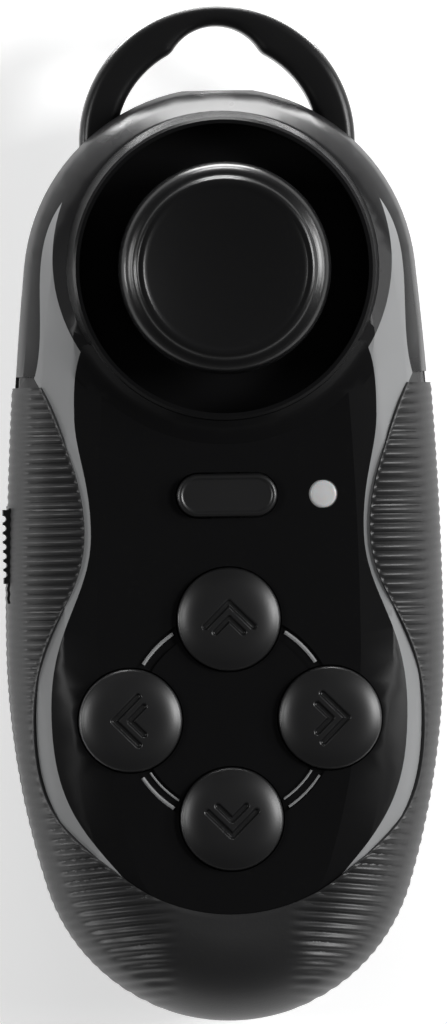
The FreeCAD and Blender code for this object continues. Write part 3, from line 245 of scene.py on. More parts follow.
def fill_inputs(tree, node, values):
    for name, value in values.items():
        if isinstance(value, bpy.types.NodeSocket):
            tree.links.new(value, node.inputs[name])
        else:
            node.inputs[name].default_value = value
    return node


def add_math(tree, operation, first, second):
    made = add_node(tree, "Math", {0: first, 1: second}, operation=operation)
    return made.outputs[0]


def add_noise(tree, where, scale, detail):
    made = add_node(tree, "TexNoise", {"Vector": where, "Scale": scale, "Detail": detail})
    return made.outputs["Fac"]


def add_range(tree, value, low, high, at_low=0.0, at_high=1.0):
    made = add_node(tree, "MapRange", {
        "Value": value, "From Min": low, "From Max": high, "To Min": at_low, "To Max": at_high})
    return made.outputs["Result"]


def new_group(name, values, results):
    """Shader node group that takes a position and named numbers, and gives named numbers."""
    group = bpy.data.node_groups.new(name, "ShaderNodeTree")
    sockets = group.interface
    sockets.new_socket("Position", in_out="INPUT", socket_type="NodeSocketVector")
    for label, value in values.items():
        made = sockets.new_socket(label, in_out="INPUT", socket_type="NodeSocketFloat")
        made.default_value = value
    for label in results:
        sockets.new_socket(label, in_out="OUTPUT", socket_type="NodeSocketFloat")
    return group, group.nodes.new("NodeGroupInput").outputs, group.nodes.new("NodeGroupOutput")


def moulded_grain(name):
    """A fine noise for the surface's height, and patches of other roughness."""
    group, given, result = new_group(name, {
        "Fine Scale": 4000.0, "Patch Scale": 120.0, "Roughness": 0.4, "Spread": 0.1},
        ("Height", "Roughness"))
    fine = add_noise(group, given["Position"], given["Fine Scale"], 2.0)
    patch = add_noise(group, given["Position"], given["Patch Scale"], 3.0)
    swing = add_math(group, "SUBTRACT", patch, 0.5)
    swing = add_math(group, "MULTIPLY", swing, given["Spread"])
    rough = add_math(group, "ADD", given["Roughness"], swing)
    fill_inputs(group, result, {"Height": fine, "Roughness": rough})
    return group


def masked(group, result, first, second, amount):
    mask = add_math(group, "MULTIPLY", first, second)
    fill_inputs(group, result, {"Mask": add_math(group, "MULTIPLY", mask, amount)})
    return group


def rubbed_edges(name):
    """Mask of rubbed convex edges, broken up by noise."""
    group, given, result = new_group(name, {"Start": 0.53, "End": 0.62, "Amount": 0.5}, ("Mask",))
    form = add_node(group, "NewGeometry")
    edge = add_range(group, form.outputs["Pointiness"], given["Start"], given["End"])
    breaks = add_noise(group, given["Position"], 900.0, 3.0)
    return masked(group, result, edge, breaks, given["Amount"])


def fine_dust(name):
    """Mask of fine dust specks that lie on faces that look up."""
    group, given, result = new_group(name, {"Amount": 0.1}, ("Mask",))
    form = add_node(group, "NewGeometry")
    split = add_node(group, "SeparateXYZ", {0: form.outputs["Normal"]})
    upward = add_range(group, split.outputs["Z"], 0.6, 1.0)
    specks = add_range(group, add_noise(group, given["Position"], 2600.0, 1.0), 0.66, 0.74)
    return masked(group, result, upward, specks, given["Amount"])


def drawn_lines(name):
    """Height of fine lines drawn along one axis, as on rolled strip and sheet."""
    group, given, result = new_group(name, {"Across": 9000.0, "Along": 300.0}, ("Height",))
    factors = add_node(group, "CombineXYZ", {
        "X": given["Across"], "Y": given["Along"], "Z": given["Across"]})
    drawn = add_node(group, "VectorMath", {
        0: given["Position"], 1: factors.outputs[0]}, operation="MULTIPLY")
    group.links.new(add_noise(group, drawn.outputs[0], 1.0, 2.0), result.inputs["Height"])
    return group


def place_group(tree, build, **inputs):
    """Outputs of a shared node group, placed and fed with the position on the piece at rest.

    The group carries the name of the function that builds it, and is built once.
    """
    name = build.__name__
    group = bpy.data.node_groups.get(name) or build(name)
    where = add_node(tree, "TexCoord")
    values = {label.replace("_", " ").title(): value for label, value in inputs.items()}
    values["Position"] = where.outputs["Object"]
    return fill_inputs(tree, add_node(tree, "Group", node_tree=group), values).outputs


def mix_colour(tree, mask, below, above):
    """Two colours mixed by a mask. Sockets 6, 7 and, going out, 2 are the node's colours."""
    made = add_node(tree, "Mix", {0: mask, 6: below, 7: above}, data_type="RGBA")
    return made.outputs[2]


def tinted(colour, gain, lift=0.0):
    return (*(min(1.0, channel * gain + lift) for channel in colour), 1.0)


def add_surface(tree, shader, grain, relief, strength, depth):
    """Roughness of one group and bumps of another, of a depth in millimetres, for the shader."""
    bump = add_node(tree, "Bump", {
        "Strength": strength, "Distance": depth * MM, "Height": relief["Height"]})
    fill_inputs(tree, shader, {"Roughness": grain["Roughness"], "Normal": bump.outputs["Normal"]})


# Finishes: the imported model's own materials have the slots' names, so these end in _finish

def grained(tree, shader, colour, roughness, spread, scale, depth, specular, wear=0.0, dust=0.0,
            patch=120, metallic=0.0):
    """Moulded plastic, rubber or lacquer with grain, rubbed edges and a little dust."""
    grain = place_group(tree, moulded_grain, fine_scale=scale, patch_scale=patch,
                        roughness=roughness, spread=spread)
    specks = place_group(tree, fine_dust, amount=dust)
    shade = tinted(colour, 1.0)
    if wear:
        rubbed = place_group(tree, rubbed_edges, amount=wear)
        shade = mix_colour(tree, rubbed["Mask"], shade, tinted(colour, 2.2, 0.012))
    shade = mix_colour(tree, specks["Mask"], shade, tinted(colour, 0.5, 0.08))
    add_surface(tree, shader, grain, grain, 0.6, depth)
    fill_inputs(tree, shader, {
        "Base Color": shade, "Specular IOR Level": specular, "Metallic": metallic})


def metal(tree, shader, roughness, depth):
    """Rolled or drawn metal with lines along Y."""
    lines = place_group(tree, drawn_lines)
    grain = place_group(tree, moulded_grain, fine_scale=1500.0, patch_scale=300.0,
                        roughness=roughness, spread=0.15)
    add_surface(tree, shader, grain, lines, 0.4, depth)
    shader.inputs["Metallic"].default_value = 1.0


def milky(tree, shader, colour):
    """Cloudy light pipe, with a faint painted glow from its emission that brightens it."""
    grain = place_group(tree, moulded_grain, fine_scale=2200.0, patch_scale=900.0,
                        roughness=0.3, spread=0.1)
    where = add_node(tree, "TexCoord")
    clouds = add_noise(tree, where.outputs["Object"], 700.0, 1.0)
    shade = mix_colour(tree, clouds, tinted(colour, 1.0), tinted(colour, 0.8))
    add_surface(tree, shader, grain, grain, 0.5, 0.01)
    # The white emission paints a faint glow that brightens the window.
    fill_inputs(tree, shader, {
        "Base Color": shade, "Emission Color": (1.0, 1.0, 1.0, 1.0), "Emission Strength": 0.12,
        "Subsurface Weight": 0.3, "Subsurface Scale": 0.6 * MM})


def finish(slot):
    """The finish of a material slot, made when it is first asked for."""
    name = slot + "_finish"
    if name in bpy.data.materials:
        return bpy.data.materials[name]
    colour = tuple(getattr(bpy.context.scene.remote_colours, slot))
    made = bpy.data.materials.new(name)
    made.use_nodes = True
    made.diffuse_color = (*colour, 1.0)
    tree = made.node_tree
    shader = tree.nodes["Principled BSDF"]
    shader.inputs["Base Color"].default_value = (*colour, 1.0)
    if slot in MOULDED:
        grained(tree, shader, colour, *MOULDED[slot])
    elif slot in METALS:
        metal(tree, shader, *METALS[slot])
    else:
        milky(tree, shader, colour)
    return made


# Mesh helpers

def new_object(name, data):
    made = bpy.data.objects.new(name, data)
    bpy.context.scene.collection.objects.link(made)
    return made


def new_piece(name, points, faces, body, slot, *nodes):
    """Mesh piece from points in millimetres, smooth, riding on a body and standing for nodes."""
    mesh = bpy.data.meshes.new(name)
    mesh.from_pydata((np.asarray(points, float) * MM).tolist(), [], faces)
    mesh.validate()
    finish_piece(new_object(name, mesh), body, slot, *nodes)


def finish_piece(made, body, slot, *nodes):
    mesh = made.data
    mesh.polygons.foreach_set("use_smooth", [True] * len(mesh.polygons))
    mesh.set_sharp_from_angle(angle=SMOOTH_ANGLE)
    mesh.materials.clear()
    mesh.materials.append(finish(slot))
    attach(made, body)
    if nodes:
        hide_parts(*nodes)


def tube_faces(rows, columns):
    """Quads of a tube whose rings of points come one after the other."""
    faces = []
    for row in range(0, (rows - 1) * columns, columns):
        for column in range(columns):
            a, b = row + column, row + (column + 1) % columns
            faces.append((a, b, b + columns, a + columns))
    return faces


def capped_faces(rows, columns):
    """Faces of a tube, seen from its other side, with a cap on each end."""
    faces = [tuple(reversed(face)) for face in tube_faces(rows, columns)]
    faces.append(tuple(range(columns)))
    faces.append(tuple(reversed(range((rows - 1) * columns, rows * columns))))
    return faces


def turned_solid(profile, centre, steps, lift=None):
    """Closed solid of revolution from a profile of (radius, z) that starts and ends on the axis.

    lift(points) moves the rings and the first pole.
    """
    inner = profile[1:-1]
    angles = np.linspace(0, 2 * math.pi, steps, endpoint=False)
    points = np.concatenate([np.stack([
        centre[0] + radius * np.cos(angles), centre[1] + radius * np.sin(angles),
        np.full(steps, float(z))], axis=1) for radius, z in inner])
    poles = np.array([[centre[0], centre[1], profile[0][1]], [centre[0], centre[1], profile[-1][1]]])
    if lift:
        points = lift(points)
        poles[:1] = lift(poles[:1])
    faces = tube_faces(len(inner), steps)
    first, last = len(points), len(points) + 1
    base = (len(inner) - 1) * steps
    for column in range(steps):
        after = (column + 1) % steps
        faces.append((first, after, column))
        faces.append((last, base + column, base + after))
    return np.concatenate([points, poles]), faces


def rounded(start, corner, end, steps):
    """Points of a smooth bend from start to end that hugs a corner."""
    bend = []
    for step in range(steps + 1):
        share = step / steps
        a, b, c = (1 - share) ** 2, 2 * share * (1 - share), share ** 2
        bend.append((a * start[0] + b * corner[0] + c * end[0],
                     a * start[1] + b * corner[1] + c * end[1]))
    return bend


def smooth_step(low, high, value):
    share = np.clip((value - low) / (high - low), 0, 1)
    return share * share * (3 - 2 * share)


def dress(slot, *nodes, bevel=0.0):
    """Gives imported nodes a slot's finish, welded smooth shading and, where asked, broken edges."""
    material = finish(slot)
    for node in nodes:
        piece = frame["nodes"][node]
        if not piece.material_slots:
            piece.data.materials.append(material)
        for holder in piece.material_slots:
            holder.material = material
        weld = piece.modifiers.new("weld", "WELD")
        weld.merge_threshold = WELD_GAP * MM
        if bevel:
            edges = piece.modifiers.new("broken_edges", "BEVEL")
            edges.width = bevel * MM
            edges.segments = 2
            edges.limit_method = "ANGLE"
            edges.angle_limit = SMOOTH_ANGLE
        split = piece.modifiers.new("sharp_edges", "EDGE_SPLIT")
        split.split_angle = SPLIT_ANGLE
        even = piece.modifiers.new("even_normals", "WEIGHTED_NORMAL")
        even.keep_sharp = True


# Plan of the body

def flank_hub(end_r, end_y):
    """Middle and radius of the flank arc that runs into an end circle."""
    along = end_y - WIDE_Y
    radius = (WIDE_X ** 2 + along ** 2 - end_r ** 2) / (2 * (WIDE_X - end_r))
    return np.array([WIDE_X - radius, WIDE_Y]), radius


FORE_HUB, FORE_R = flank_hub(HEAD_R, HEAD_Y)
REAR_HUB, REAR_R = flank_hub(TAIL_R, TAIL_Y)
TAIL_HUB = np.array([0.0, TAIL_Y])
TAIL_WAY = TAIL_HUB - REAR_HUB


def plan_inset(x, y):
    """How far a plan point behind the head lies inside the outline."""
    x = np.abs(x)
    fore = FORE_R - np.hypot(x - FORE_HUB[0], y - FORE_HUB[1])
    rear = REAR_R - np.hypot(x - REAR_HUB[0], y - REAR_HUB[1])
    tail = TAIL_R - np.hypot(x, y - TAIL_Y)
    side = TAIL_WAY[0] * (y - REAR_HUB[1]) - TAIL_WAY[1] * (x - REAR_HUB[0])
    inset = np.where(y > WIDE_Y, fore, rear)
    return np.where((side < 0) & (y <= WIDE_Y), tail, inset)


def on_circle(hub, radius, angles):
    return hub + radius * np.stack([np.cos(angles), np.sin(angles)], axis=1)


def rim_stations(start_y, step, breaks=()):
    """Plan points down the right side of the outline to the tip of the tail, and inward headings."""
    marks = sorted([start_y, WIDE_Y, *breaks], reverse=True)
    y = np.concatenate([
        np.linspace(high, low, max(2, round((high - low) / step)), endpoint=False)
        for high, low in zip(marks, marks[1:])])
    x = FORE_HUB[0] + np.sqrt((FORE_R + GRIP_PROUD) ** 2 - (y - FORE_HUB[1]) ** 2)
    end = math.atan2(TAIL_WAY[1], TAIL_WAY[0])
    angles = np.linspace(0, end, round(-end * REAR_R / step), endpoint=False)
    rear = on_circle(REAR_HUB, REAR_R + GRIP_PROUD, angles)
    angles = np.linspace(end, -math.pi / 2, round((end + math.pi / 2) * TAIL_R / step) + 1)
    tail = on_circle(TAIL_HUB, TAIL_R + GRIP_PROUD, angles)
    plan = np.concatenate([np.stack([x, y], axis=1), rear, tail])
    normal = np.gradient(plan, axis=0)
    angle = np.arctan2(normal[:, 0], -normal[:, 1])
    share = smooth_step(TURN_START_Y, TURN_END_Y, plan[:, 1])
    angle = np.where(plan[:, 1] < TURN_START_Y, np.minimum(angle, 0) * share, 0.0)
    angle[-1] = -math.pi / 2
    return plan, np.stack([-np.cos(angle), -np.sin(angle)], axis=1)


def reach_inset(plan, heading, inset):
    """Plan points on each station's line at the given insets, one column per inset."""
    low = np.zeros(inset.shape)
    high = np.full(inset.shape, FARTHEST_INSET)
    for _ in range(26):
        middle = (low + high) / 2
        x = plan[:, None, 0] + heading[:, None, 0] * middle
        y = plan[:, None, 1] + heading[:, None, 1] * middle
        short = plan_inset(x, y) < inset
        low, high = np.where(short, middle, low), np.where(short, high, middle)
    return x, y


def grip_depth(node, plan, heading, mirror):
    """How far inwards a packed grip reaches on each station's line."""
    mesh = frame["nodes"][node].data
    mesh.calc_loop_triangles()
    tree = BVHTree.FromPolygons([vertex.co / MM for vertex in mesh.vertices],
                                [tuple(tri.vertices) for tri in mesh.loop_triangles])
    down = Vector((0, 0, -1))
    reach = []
    for (x, y), (dx, dy) in zip(plan, heading):

        def covered(distance):
            start_y = min(y, GRIP_END_Y - 0.02) + dy * distance
            start = Vector((mirror * (x + dx * distance), start_y, PROBE_Z))
            return tree.ray_cast(start, down)[0] is not None

        low = PROBE_START
        while covered(low + PROBE_STEP) and low < PROBE_END:
            low += PROBE_STEP
        high = low + PROBE_STEP
        for _ in range(7):
            middle = (low + high) / 2
            low, high = (middle, high) if covered(middle) else (low, middle)
        reach.append(low)
    return np.array(reach)


def sheet_solid(front, back, keep):
    """Closed solid between two grids of points with the same layout; keep marks the quads."""
    rows, columns = front.shape[:2]
    count = rows * columns
    index = np.arange(count).reshape(rows, columns)
    quads = np.stack([index[:-1, :-1], index[:-1, 1:], index[1:, 1:], index[1:, :-1]], axis=-1)
    quads = quads[keep].tolist()
    faces = [tuple(quad) for quad in quads]
    faces += [tuple(corner + count for corner in reversed(quad)) for quad in quads]
    once = {}
    for quad in quads:
        for start, end in zip(quad, quad[1:] + quad[:1]):
            if (end, start) in once:
                del once[(end, start)]
            else:
                once[(start, end)] = True
    faces += [(end, start, start + count, end + count) for start, end in once]
    points = np.concatenate([front.reshape(-1, 3), back.reshape(-1, 3)])
    used = sorted({corner for face in faces for corner in face})
    renamed = {old: new for new, old in enumerate(used)}
    return points[used], [tuple(renamed[corner] for corner in face) for face in faces]


def rib_height(x, y, inset, sizes):
    """Height of the rib pattern at a plan point: grooves across, fading at the tail's middle."""
    along = y + smooth_step(*BOW_Y, y) * RIB_BOW * x ** 2
    along = along - smooth_step(*DRAW_Y, along) * (along - DRAW_Y[0]) * RIB_DRAW
    wave = 0.5 - 0.5 * np.cos(2 * math.pi * along / (sizes.rib_pitch / MM))
    shoulder = SHOULDER_SHARE + (1 - SHOULDER_SHARE) * smooth_step(*SHOULDER_INSET, inset)
    middle = np.where(y < SMOOTH_TAIL_Y, smooth_step(*SMOOTH_TAIL_X, np.abs(x)), 1.0)
    return -(sizes.rib_depth / MM) * wave ** RIB_SHAPE * shoulder * middle


# Operators: one for each piece or group of like pieces

class Step:
    """What the operators share: each runs its own build with the sizes."""

    def execute(self, context):
        self.build(context.scene.remote_sizes)
        return {"FINISHED"}


class BuildCase(Step, bpy.types.Operator):
    """Finish the two shells, the face plate and the trim strips"""

    bl_idname = "remote.build_case"
    bl_label = "Case, Plate and Trim"

    def build(self, sizes):
        dress("case_gloss", "upper_housing")
        dress("case_under", "lower_housing", "battery_cover")
        dress("face_black", "face_plate")
        dress("trim_silver", "trim_strip_left", "trim_strip_right")


def bend_fall(share, bend):
    """How far a quarter bend falls back at a share of its radius."""
    return bend * (1 - np.sqrt(1 - share ** 2))


def section_columns(inner, rows):
    """Insets and heights of the upper grip's section, from its inner edge to the parting."""
    share = np.linspace(0, 1, INSET_COLUMNS)
    insets = inner[:, None] + (SPLIT_INSET - inner[:, None]) * share[None, :]
    turn = np.clip((insets + GRIP_PROUD) / GRIP_BEND, 0, 1)
    heights = GRIP_TOP - bend_fall(1 - turn, GRIP_BEND)
    sine = np.clip(1 - (GRIP_TOP - rows) / GRIP_BEND, 0, 1)
    outer = bend_fall(sine, GRIP_BEND) - GRIP_PROUD
    insets = np.concatenate([insets, np.tile(outer, (len(inner), 1))], axis=1)
    return insets, np.concatenate([heights, np.tile(rows, (len(inner), 1))], axis=1)


def shifted(x, y, z, heading, lean, shift, up):
    """Grid of points moved outwards by shift, square to a face that leans by an angle."""
    flat = shift * np.cos(lean)
    return np.stack([x - flat * heading[:, None, 0], y - flat * heading[:, None, 1],
                     z + up * shift * np.sin(lean)], axis=-1)


def steps_inside(marks, ends):
    """Which steps from one mark to the next have their middle between two ends."""
    middle = (marks[:-1] + marks[1:]) / 2
    return (middle > ends[0]) & (middle < ends[1])


def half_grip(sizes, mirror):
    """Front and back grid of the upper grip on one side, from front to tail, and its quads."""
    plan, heading = rim_stations(GRIP_END_Y, sizes.mesh_step / MM, SWITCH_WINDOW_Y)
    reach = grip_depth("grip_upper", plan, heading, mirror) - EDGE_GAP
    inner = plan_inset(plan[:, 0] + heading[:, 0] * reach, plan[:, 1] + heading[:, 1] * reach)
    split_z = GRIP_TOP - bend_fall(1 - (SPLIT_INSET + GRIP_PROUD) / GRIP_BEND, GRIP_BEND)
    marks = [split_z, SWITCH_WINDOW_Z[1], SWITCH_WINDOW_Z[0], PARTING_Z + PARTING_GAP]
    rows = np.concatenate([np.linspace(high, low, round((high - low) / ROW_STEP) + 1)[1:]
                           for high, low in zip(marks, marks[1:])])
    insets, heights = section_columns(inner, rows)
    x, y = reach_inset(plan, heading, insets)
    lean = np.arcsin(np.clip(1 - (GRIP_TOP - heights) / GRIP_BEND, 0, 1))
    edge = smooth_step(0.0, EDGE_WIDTH, inner[:, None] - insets)
    relief = rib_height(x, y, insets, sizes) * edge - (1 - edge) * EDGE_DROP
    front = shifted(x, y, heights, heading, lean, relief, 1)
    back = shifted(x, y, heights, heading, lean, -(GRIP_PROUD + GRIP_SINK), 1)
    keep = np.ones((len(plan) - 1, insets.shape[1] - 1), bool)
    if mirror < 0:
        beside = steps_inside(plan[:, 1], SWITCH_WINDOW_Y)
        level = steps_inside(heights[0], SWITCH_WINDOW_Z)
        level[:INSET_COLUMNS] = False
        keep &= ~(beside[:, None] & level[None, :])
    for grid in (front, back):
        grid[..., 0] *= mirror
        grid[..., 1] = np.minimum(grid[..., 1], GRIP_END_Y)
    return front, back, keep


class BuildGrips(Step, bpy.types.Operator):
    """Make the ribbed rubber grips on the sides and the tail"""

    bl_idname = "remote.build_grips"
    bl_label = "Ribbed Grips"

    def build(self, sizes):
        self.build_upper(sizes)
        self.build_lower(sizes)

    def build_upper(self, sizes):
        right = half_grip(sizes, 1)
        left = half_grip(sizes, -1)
        front, back = (np.concatenate([left[side], right[side][-2::-1]]) for side in (0, 1))
        keep = np.concatenate([left[2], right[2][::-1]])
        points, faces = sheet_solid(front, back, keep)
        new_piece("ribbed_grip_upper", points, faces, "root", "grip_rubber", "grip_upper")

    def build_lower(self, sizes):
        plan, heading = rim_stations(LOWER_END_Y, sizes.mesh_step / MM)
        heights = np.linspace(PARTING_Z - PARTING_GAP, GRIP_FOOT_Z, LOWER_ROWS)
        sine = np.clip(1 - (heights + GRIP_PROUD) / LOWER_BEND, 0, 1)
        insets = np.tile(bend_fall(sine, LOWER_BEND) - GRIP_PROUD, (len(plan), 1))
        x, y = reach_inset(plan, heading, insets)
        z = np.tile(heights, (len(plan), 1))
        relief = rib_height(x, y, insets, sizes) * LOWER_RIB_SHARE
        whole = []
        for shift in (relief, -(GRIP_PROUD + GRIP_SINK)):
            grid = shifted(x, y, z, heading, np.arcsin(sine)[None, :], shift, -1)
            grid[..., 1] = np.minimum(grid[..., 1], LOWER_END_Y)
            whole.append(np.concatenate([grid * (-1, 1, 1), grid[-2::-1]]))
        keep = np.ones((len(whole[0]) - 1, LOWER_ROWS - 1), bool)
        points, faces = sheet_solid(*whole, keep)
        new_piece("ribbed_grip_lower", points, faces, "root", "grip_rubber", "grip_lower")


def arc_points(centre, radius, start, end, steps):
    angles = np.linspace(start, end, steps)
    return [(centre[0] + radius * math.cos(a), centre[1] + radius * math.sin(a)) for a in angles]


def loop_inner_edge(low_y):
    """Right half of the loop's opening, from low_y up to the top of the bulb."""
    gap = BULB_Y - LOOP_HOLE_Y
    wide, small = LOOP_HOLE_R + LOOP_BLEND_R, BULB_R + LOOP_BLEND_R
    share = (wide ** 2 - small ** 2 + gap ** 2) / (2 * gap)
    blend = (math.sqrt(wide ** 2 - share ** 2), LOOP_HOLE_Y + share)
    start = math.asin((low_y - LOOP_HOLE_Y) / LOOP_HOLE_R)
    meet = math.atan2(blend[1] - LOOP_HOLE_Y, blend[0])
    edge = arc_points((0, LOOP_HOLE_Y), LOOP_HOLE_R, start, meet, 40)
    turn_in = math.atan2(LOOP_HOLE_Y - blend[1], -blend[0])
    turn_out = math.atan2(BULB_Y - blend[1], -blend[0])
    bend = arc_points(blend, LOOP_BLEND_R, turn_in % (2 * math.pi), turn_out % (2 * math.pi), 12)
    top = math.atan2(blend[1] - BULB_Y, blend[0])
    bulb = arc_points((0, BULB_Y), BULB_R, top, math.pi / 2, 30)
    return edge + bend[1:] + bulb[1:]


def loop_outline(low_y):
    """Closed horseshoe outline: up the outer edge and back along the opening."""
    start = math.asin((low_y - LOOP_Y) / LOOP_R)
    outer = arc_points((0, LOOP_Y), LOOP_R, start, math.pi - start, 120)
    right = loop_inner_edge(low_y)
    left = [(-x, y) for x, y in right]
    return outer + left + right[-2::-1]


def filled_curve(name, outlines, low_z, high_z, edge):
    """Mesh of a flat plate with rounded edges, from closed outlines."""
    curve = bpy.data.curves.new(name, "CURVE")
    curve.dimensions = "2D"
    curve.fill_mode = "BOTH"
    curve.extrude = ((high_z - low_z) / 2 - edge) * MM
    curve.bevel_depth = edge * MM
    curve.bevel_resolution = 5
    curve.offset = -edge * MM
    for outline in outlines:
        spline = curve.splines.new("POLY")
        spline.points.add(len(outline) - 1)
        for point, (x, y) in zip(spline.points, outline):
            point.co = (x * MM, y * MM, 0, 1)
        spline.use_cyclic_u = True
    made = new_object(name, curve)
    graph = bpy.context.evaluated_depsgraph_get()
    mesh = bpy.data.meshes.new_from_object(made.evaluated_get(graph))
    bpy.data.objects.remove(made)
    bpy.data.curves.remove(curve)
    middle = (low_z + high_z) / 2 * MM
    for vertex in mesh.vertices:
        vertex.co.z += middle
    return mesh


def joined_meshes(name, meshes):
    """One mesh from several, with doubled points merged."""
    whole = bmesh.new()
    for mesh in meshes:
        whole.from_mesh(mesh)
    bmesh.ops.remove_doubles(whole, verts=whole.verts, dist=0.001 * MM)
    made = bpy.data.meshes.new(name)
    whole.to_mesh(made)
    whole.free()
    return made


def lug_arc(radius, y, start_y, end_y):
    """Side of a lug, on a circle of the loop."""
    start, end = (math.asin((mark - y) / radius) for mark in (start_y, end_y))
    return arc_points((0, y), radius, start, end, 16)


class BuildLoop(Step, bpy.types.Operator):
    """Make the carry loop with its rounded edges and its two lugs"""

    bl_idname = "remote.build_loop"
    bl_label = "Carry Loop"

    def build(self, sizes):
        edge = sizes.loop_round / MM
        meshes = [filled_curve("loop_ring", [loop_outline(LOOP_FOOT_Y)], LOOP_LOW_Z, LOOP_HIGH_Z, edge)]
        hole = arc_points((LUG_HOLE_X, LUG_HOLE_Y), LUG_HOLE_R, 0, 2 * math.pi, 33)[:-1]
        edge_line = lug_arc(LOOP_R, LOOP_Y, LUG_END_Y, LUG_REACH_Y)
        edge_line += lug_arc(LOOP_HOLE_R, LOOP_HOLE_Y, LUG_REACH_Y, LUG_END_Y)
        middle = (LOOP_LOW_Z + LOOP_HIGH_Z) / 2
        for side in (1, -1):
            outlines = [[(side * x, y) for x, y in line] for line in (edge_line, hole)]
            meshes.append(filled_curve("lug", outlines, middle - LUG_THICK / 2,
                                       middle + LUG_THICK / 2, LUG_EDGE))
        made = new_object("carry_loop", joined_meshes("carry_loop", meshes))
        finish_piece(made, "root", "loop_black", "lanyard_loop")


class BuildThumbPad(Step, bpy.types.Operator):
    """Make the dished thumb pad"""

    bl_idname = "remote.build_thumb_pad"
    bl_label = "Thumb Pad"

    def build(self, sizes):
        dish_z, rise = PAD_TOP_Z - PAD_DISH, PAD_DISH - PAD_LIP
        profile = []
        for ring in range(PAD_DISH_RINGS + 1):
            radius = PAD_DISH_R * ring / PAD_DISH_RINGS
            profile.append((radius, dish_z + rise * (radius / PAD_DISH_R) ** 2))
        for bend in PAD_BENDS:
            profile += rounded(*bend)
        profile += PAD_HOLLOW
        points, faces = turned_solid(profile, (0, STICK_Y), sizes.turn_steps)
        new_piece("thumb_pad", points, faces, "stick", "pad_rubber", "joystick_cap")


def stroke(x, y, start, end):
    """Distance to a straight stroke."""
    run = np.array(end, float) - np.array(start, float)
    share = ((x - start[0]) * run[0] + (y - start[1]) * run[1]) / (run @ run)
    share = np.clip(share, 0, 1)
    return np.hypot(x - start[0] - share * run[0], y - start[1] - share * run[1])


def chevron_distance(x, y, way):
    """Distance, from points round the middle of a key, to chevrons that point along way."""
    ahead = x * way[0] + y * way[1]
    across = y * way[0] - x * way[1]
    return np.minimum.reduce([stroke(across, ahead, (0.0, tip), (side * wing, back))
                              for tip, wing, back in CHEVRONS for side in (-1, 1)])


def with_stops(points, faces, x, y, half):
    """Key with a bar across it whose two ends stop it under the shell."""
    wide, reach = STOP_WIDTH / 2, half + STOP_REACH
    corners = [(x + wide * side, y + reach * end, z)
               for z in (STOP_TOP_Z - STOP_THICK, STOP_TOP_Z)
               for side, end in ((-1, -1), (1, -1), (1, 1), (-1, 1))]
    first = len(points)
    bar = [(3, 2, 1, 0), (4, 5, 6, 7)]
    bar += [(step, (step + 1) % 4, 4 + (step + 1) % 4, 4 + step) for step in range(4)]
    faces = faces + [tuple(first + corner for corner in face) for face in bar]
    return np.concatenate([points, corners]), faces


class BuildRoundKeys(Step, bpy.types.Operator):
    """Make the four crowned keys with their engraved chevrons"""

    bl_idname = "remote.build_round_keys"
    bl_label = "Round Keys"

    def build(self, sizes):
        for name, way in (("square", (0, 1)), ("cross", (-1, 0)), ("triangle", (1, 0)),
                          ("mode", (0, -1))):
            self.build_key(sizes, name, way)

    def build_key(self, sizes, name, way):
        """Key that stands, and whose chevrons point, along way from the middle of the ring."""
        x, y = KEY_RING_R * way[0], KEY_RING_Y + KEY_RING_R * way[1]
        crown_r, edge_z = KEY_R - KEY_EDGE, KEY_TOP_Z - KEY_CROWN
        profile = []
        for ring in range(KEY_RINGS + 1):
            radius = crown_r * ring / KEY_RINGS
            profile.append((radius, KEY_TOP_Z - KEY_CROWN * (radius / crown_r) ** CROWN_POWER))
        profile += rounded((crown_r, edge_z), (KEY_R - 0.03, edge_z - 0.12),
                           (KEY_R, edge_z - KEY_EDGE), 6)[1:]
        profile += [(KEY_R, KEY_FOOT_Z), (0, KEY_FOOT_Z)]
        half, depth = sizes.groove_width / MM / 2, sizes.groove_depth / MM

        def engrave(points):
            distance = chevron_distance(points[:, 0] - x, points[:, 1] - y, way)
            cut = 1 - smooth_step(half - GROOVE_SOFT, half + GROOVE_SOFT, distance)
            cut[points[:, 2] < edge_z] = 0
            points[:, 2] -= cut * depth
            return points

        points, faces = turned_solid(profile, (x, y), KEY_STEPS, engrave)
        points, faces = with_stops(points, faces, x, y, KEY_R)
        new_piece("key_" + name, points, faces, "key_" + name, "key_black", "button_" + name)


def ring_line(radius, width, middle):
    """Thin light grey line with a ridge, bent round the middle of the round keys, a painted highlight
    of the ring groove.
    """
    angles = np.radians(np.linspace(middle - LINE_SPAN / 2, middle + LINE_SPAN / 2, LINE_STEPS))
    half, foot, side = width / 2, RING_FLOOR_Z - LINE_SINK, RING_FLOOR_Z + LINE_SIDE
    section = [(-half, foot), (-half, side), (0.0, RING_FLOOR_Z + LINE_TOP), (half, side), (half, foot)]
    points = [((radius + out) * math.cos(angle), KEY_RING_Y + (radius + out) * math.sin(angle), z)
              for angle in angles for out, z in section]
    return points, capped_faces(LINE_STEPS, len(section))


class BuildRingLines(Step, bpy.types.Operator):
    """Make the short light grey lines of the ring between the round keys, painted highlights of its
    groove
    """

    bl_idname = "remote.build_ring_lines"
    bl_label = "Ring Highlights"

    def build(self, sizes):
        for name, line in RING_HIGHLIGHTS.items():
            points, faces = ring_line(*line)
            # The trim's light grey on these ridges paints the highlights of the ring groove's edges.
            new_piece("highlight_arc_" + name, points, faces, "root", "trim_silver")


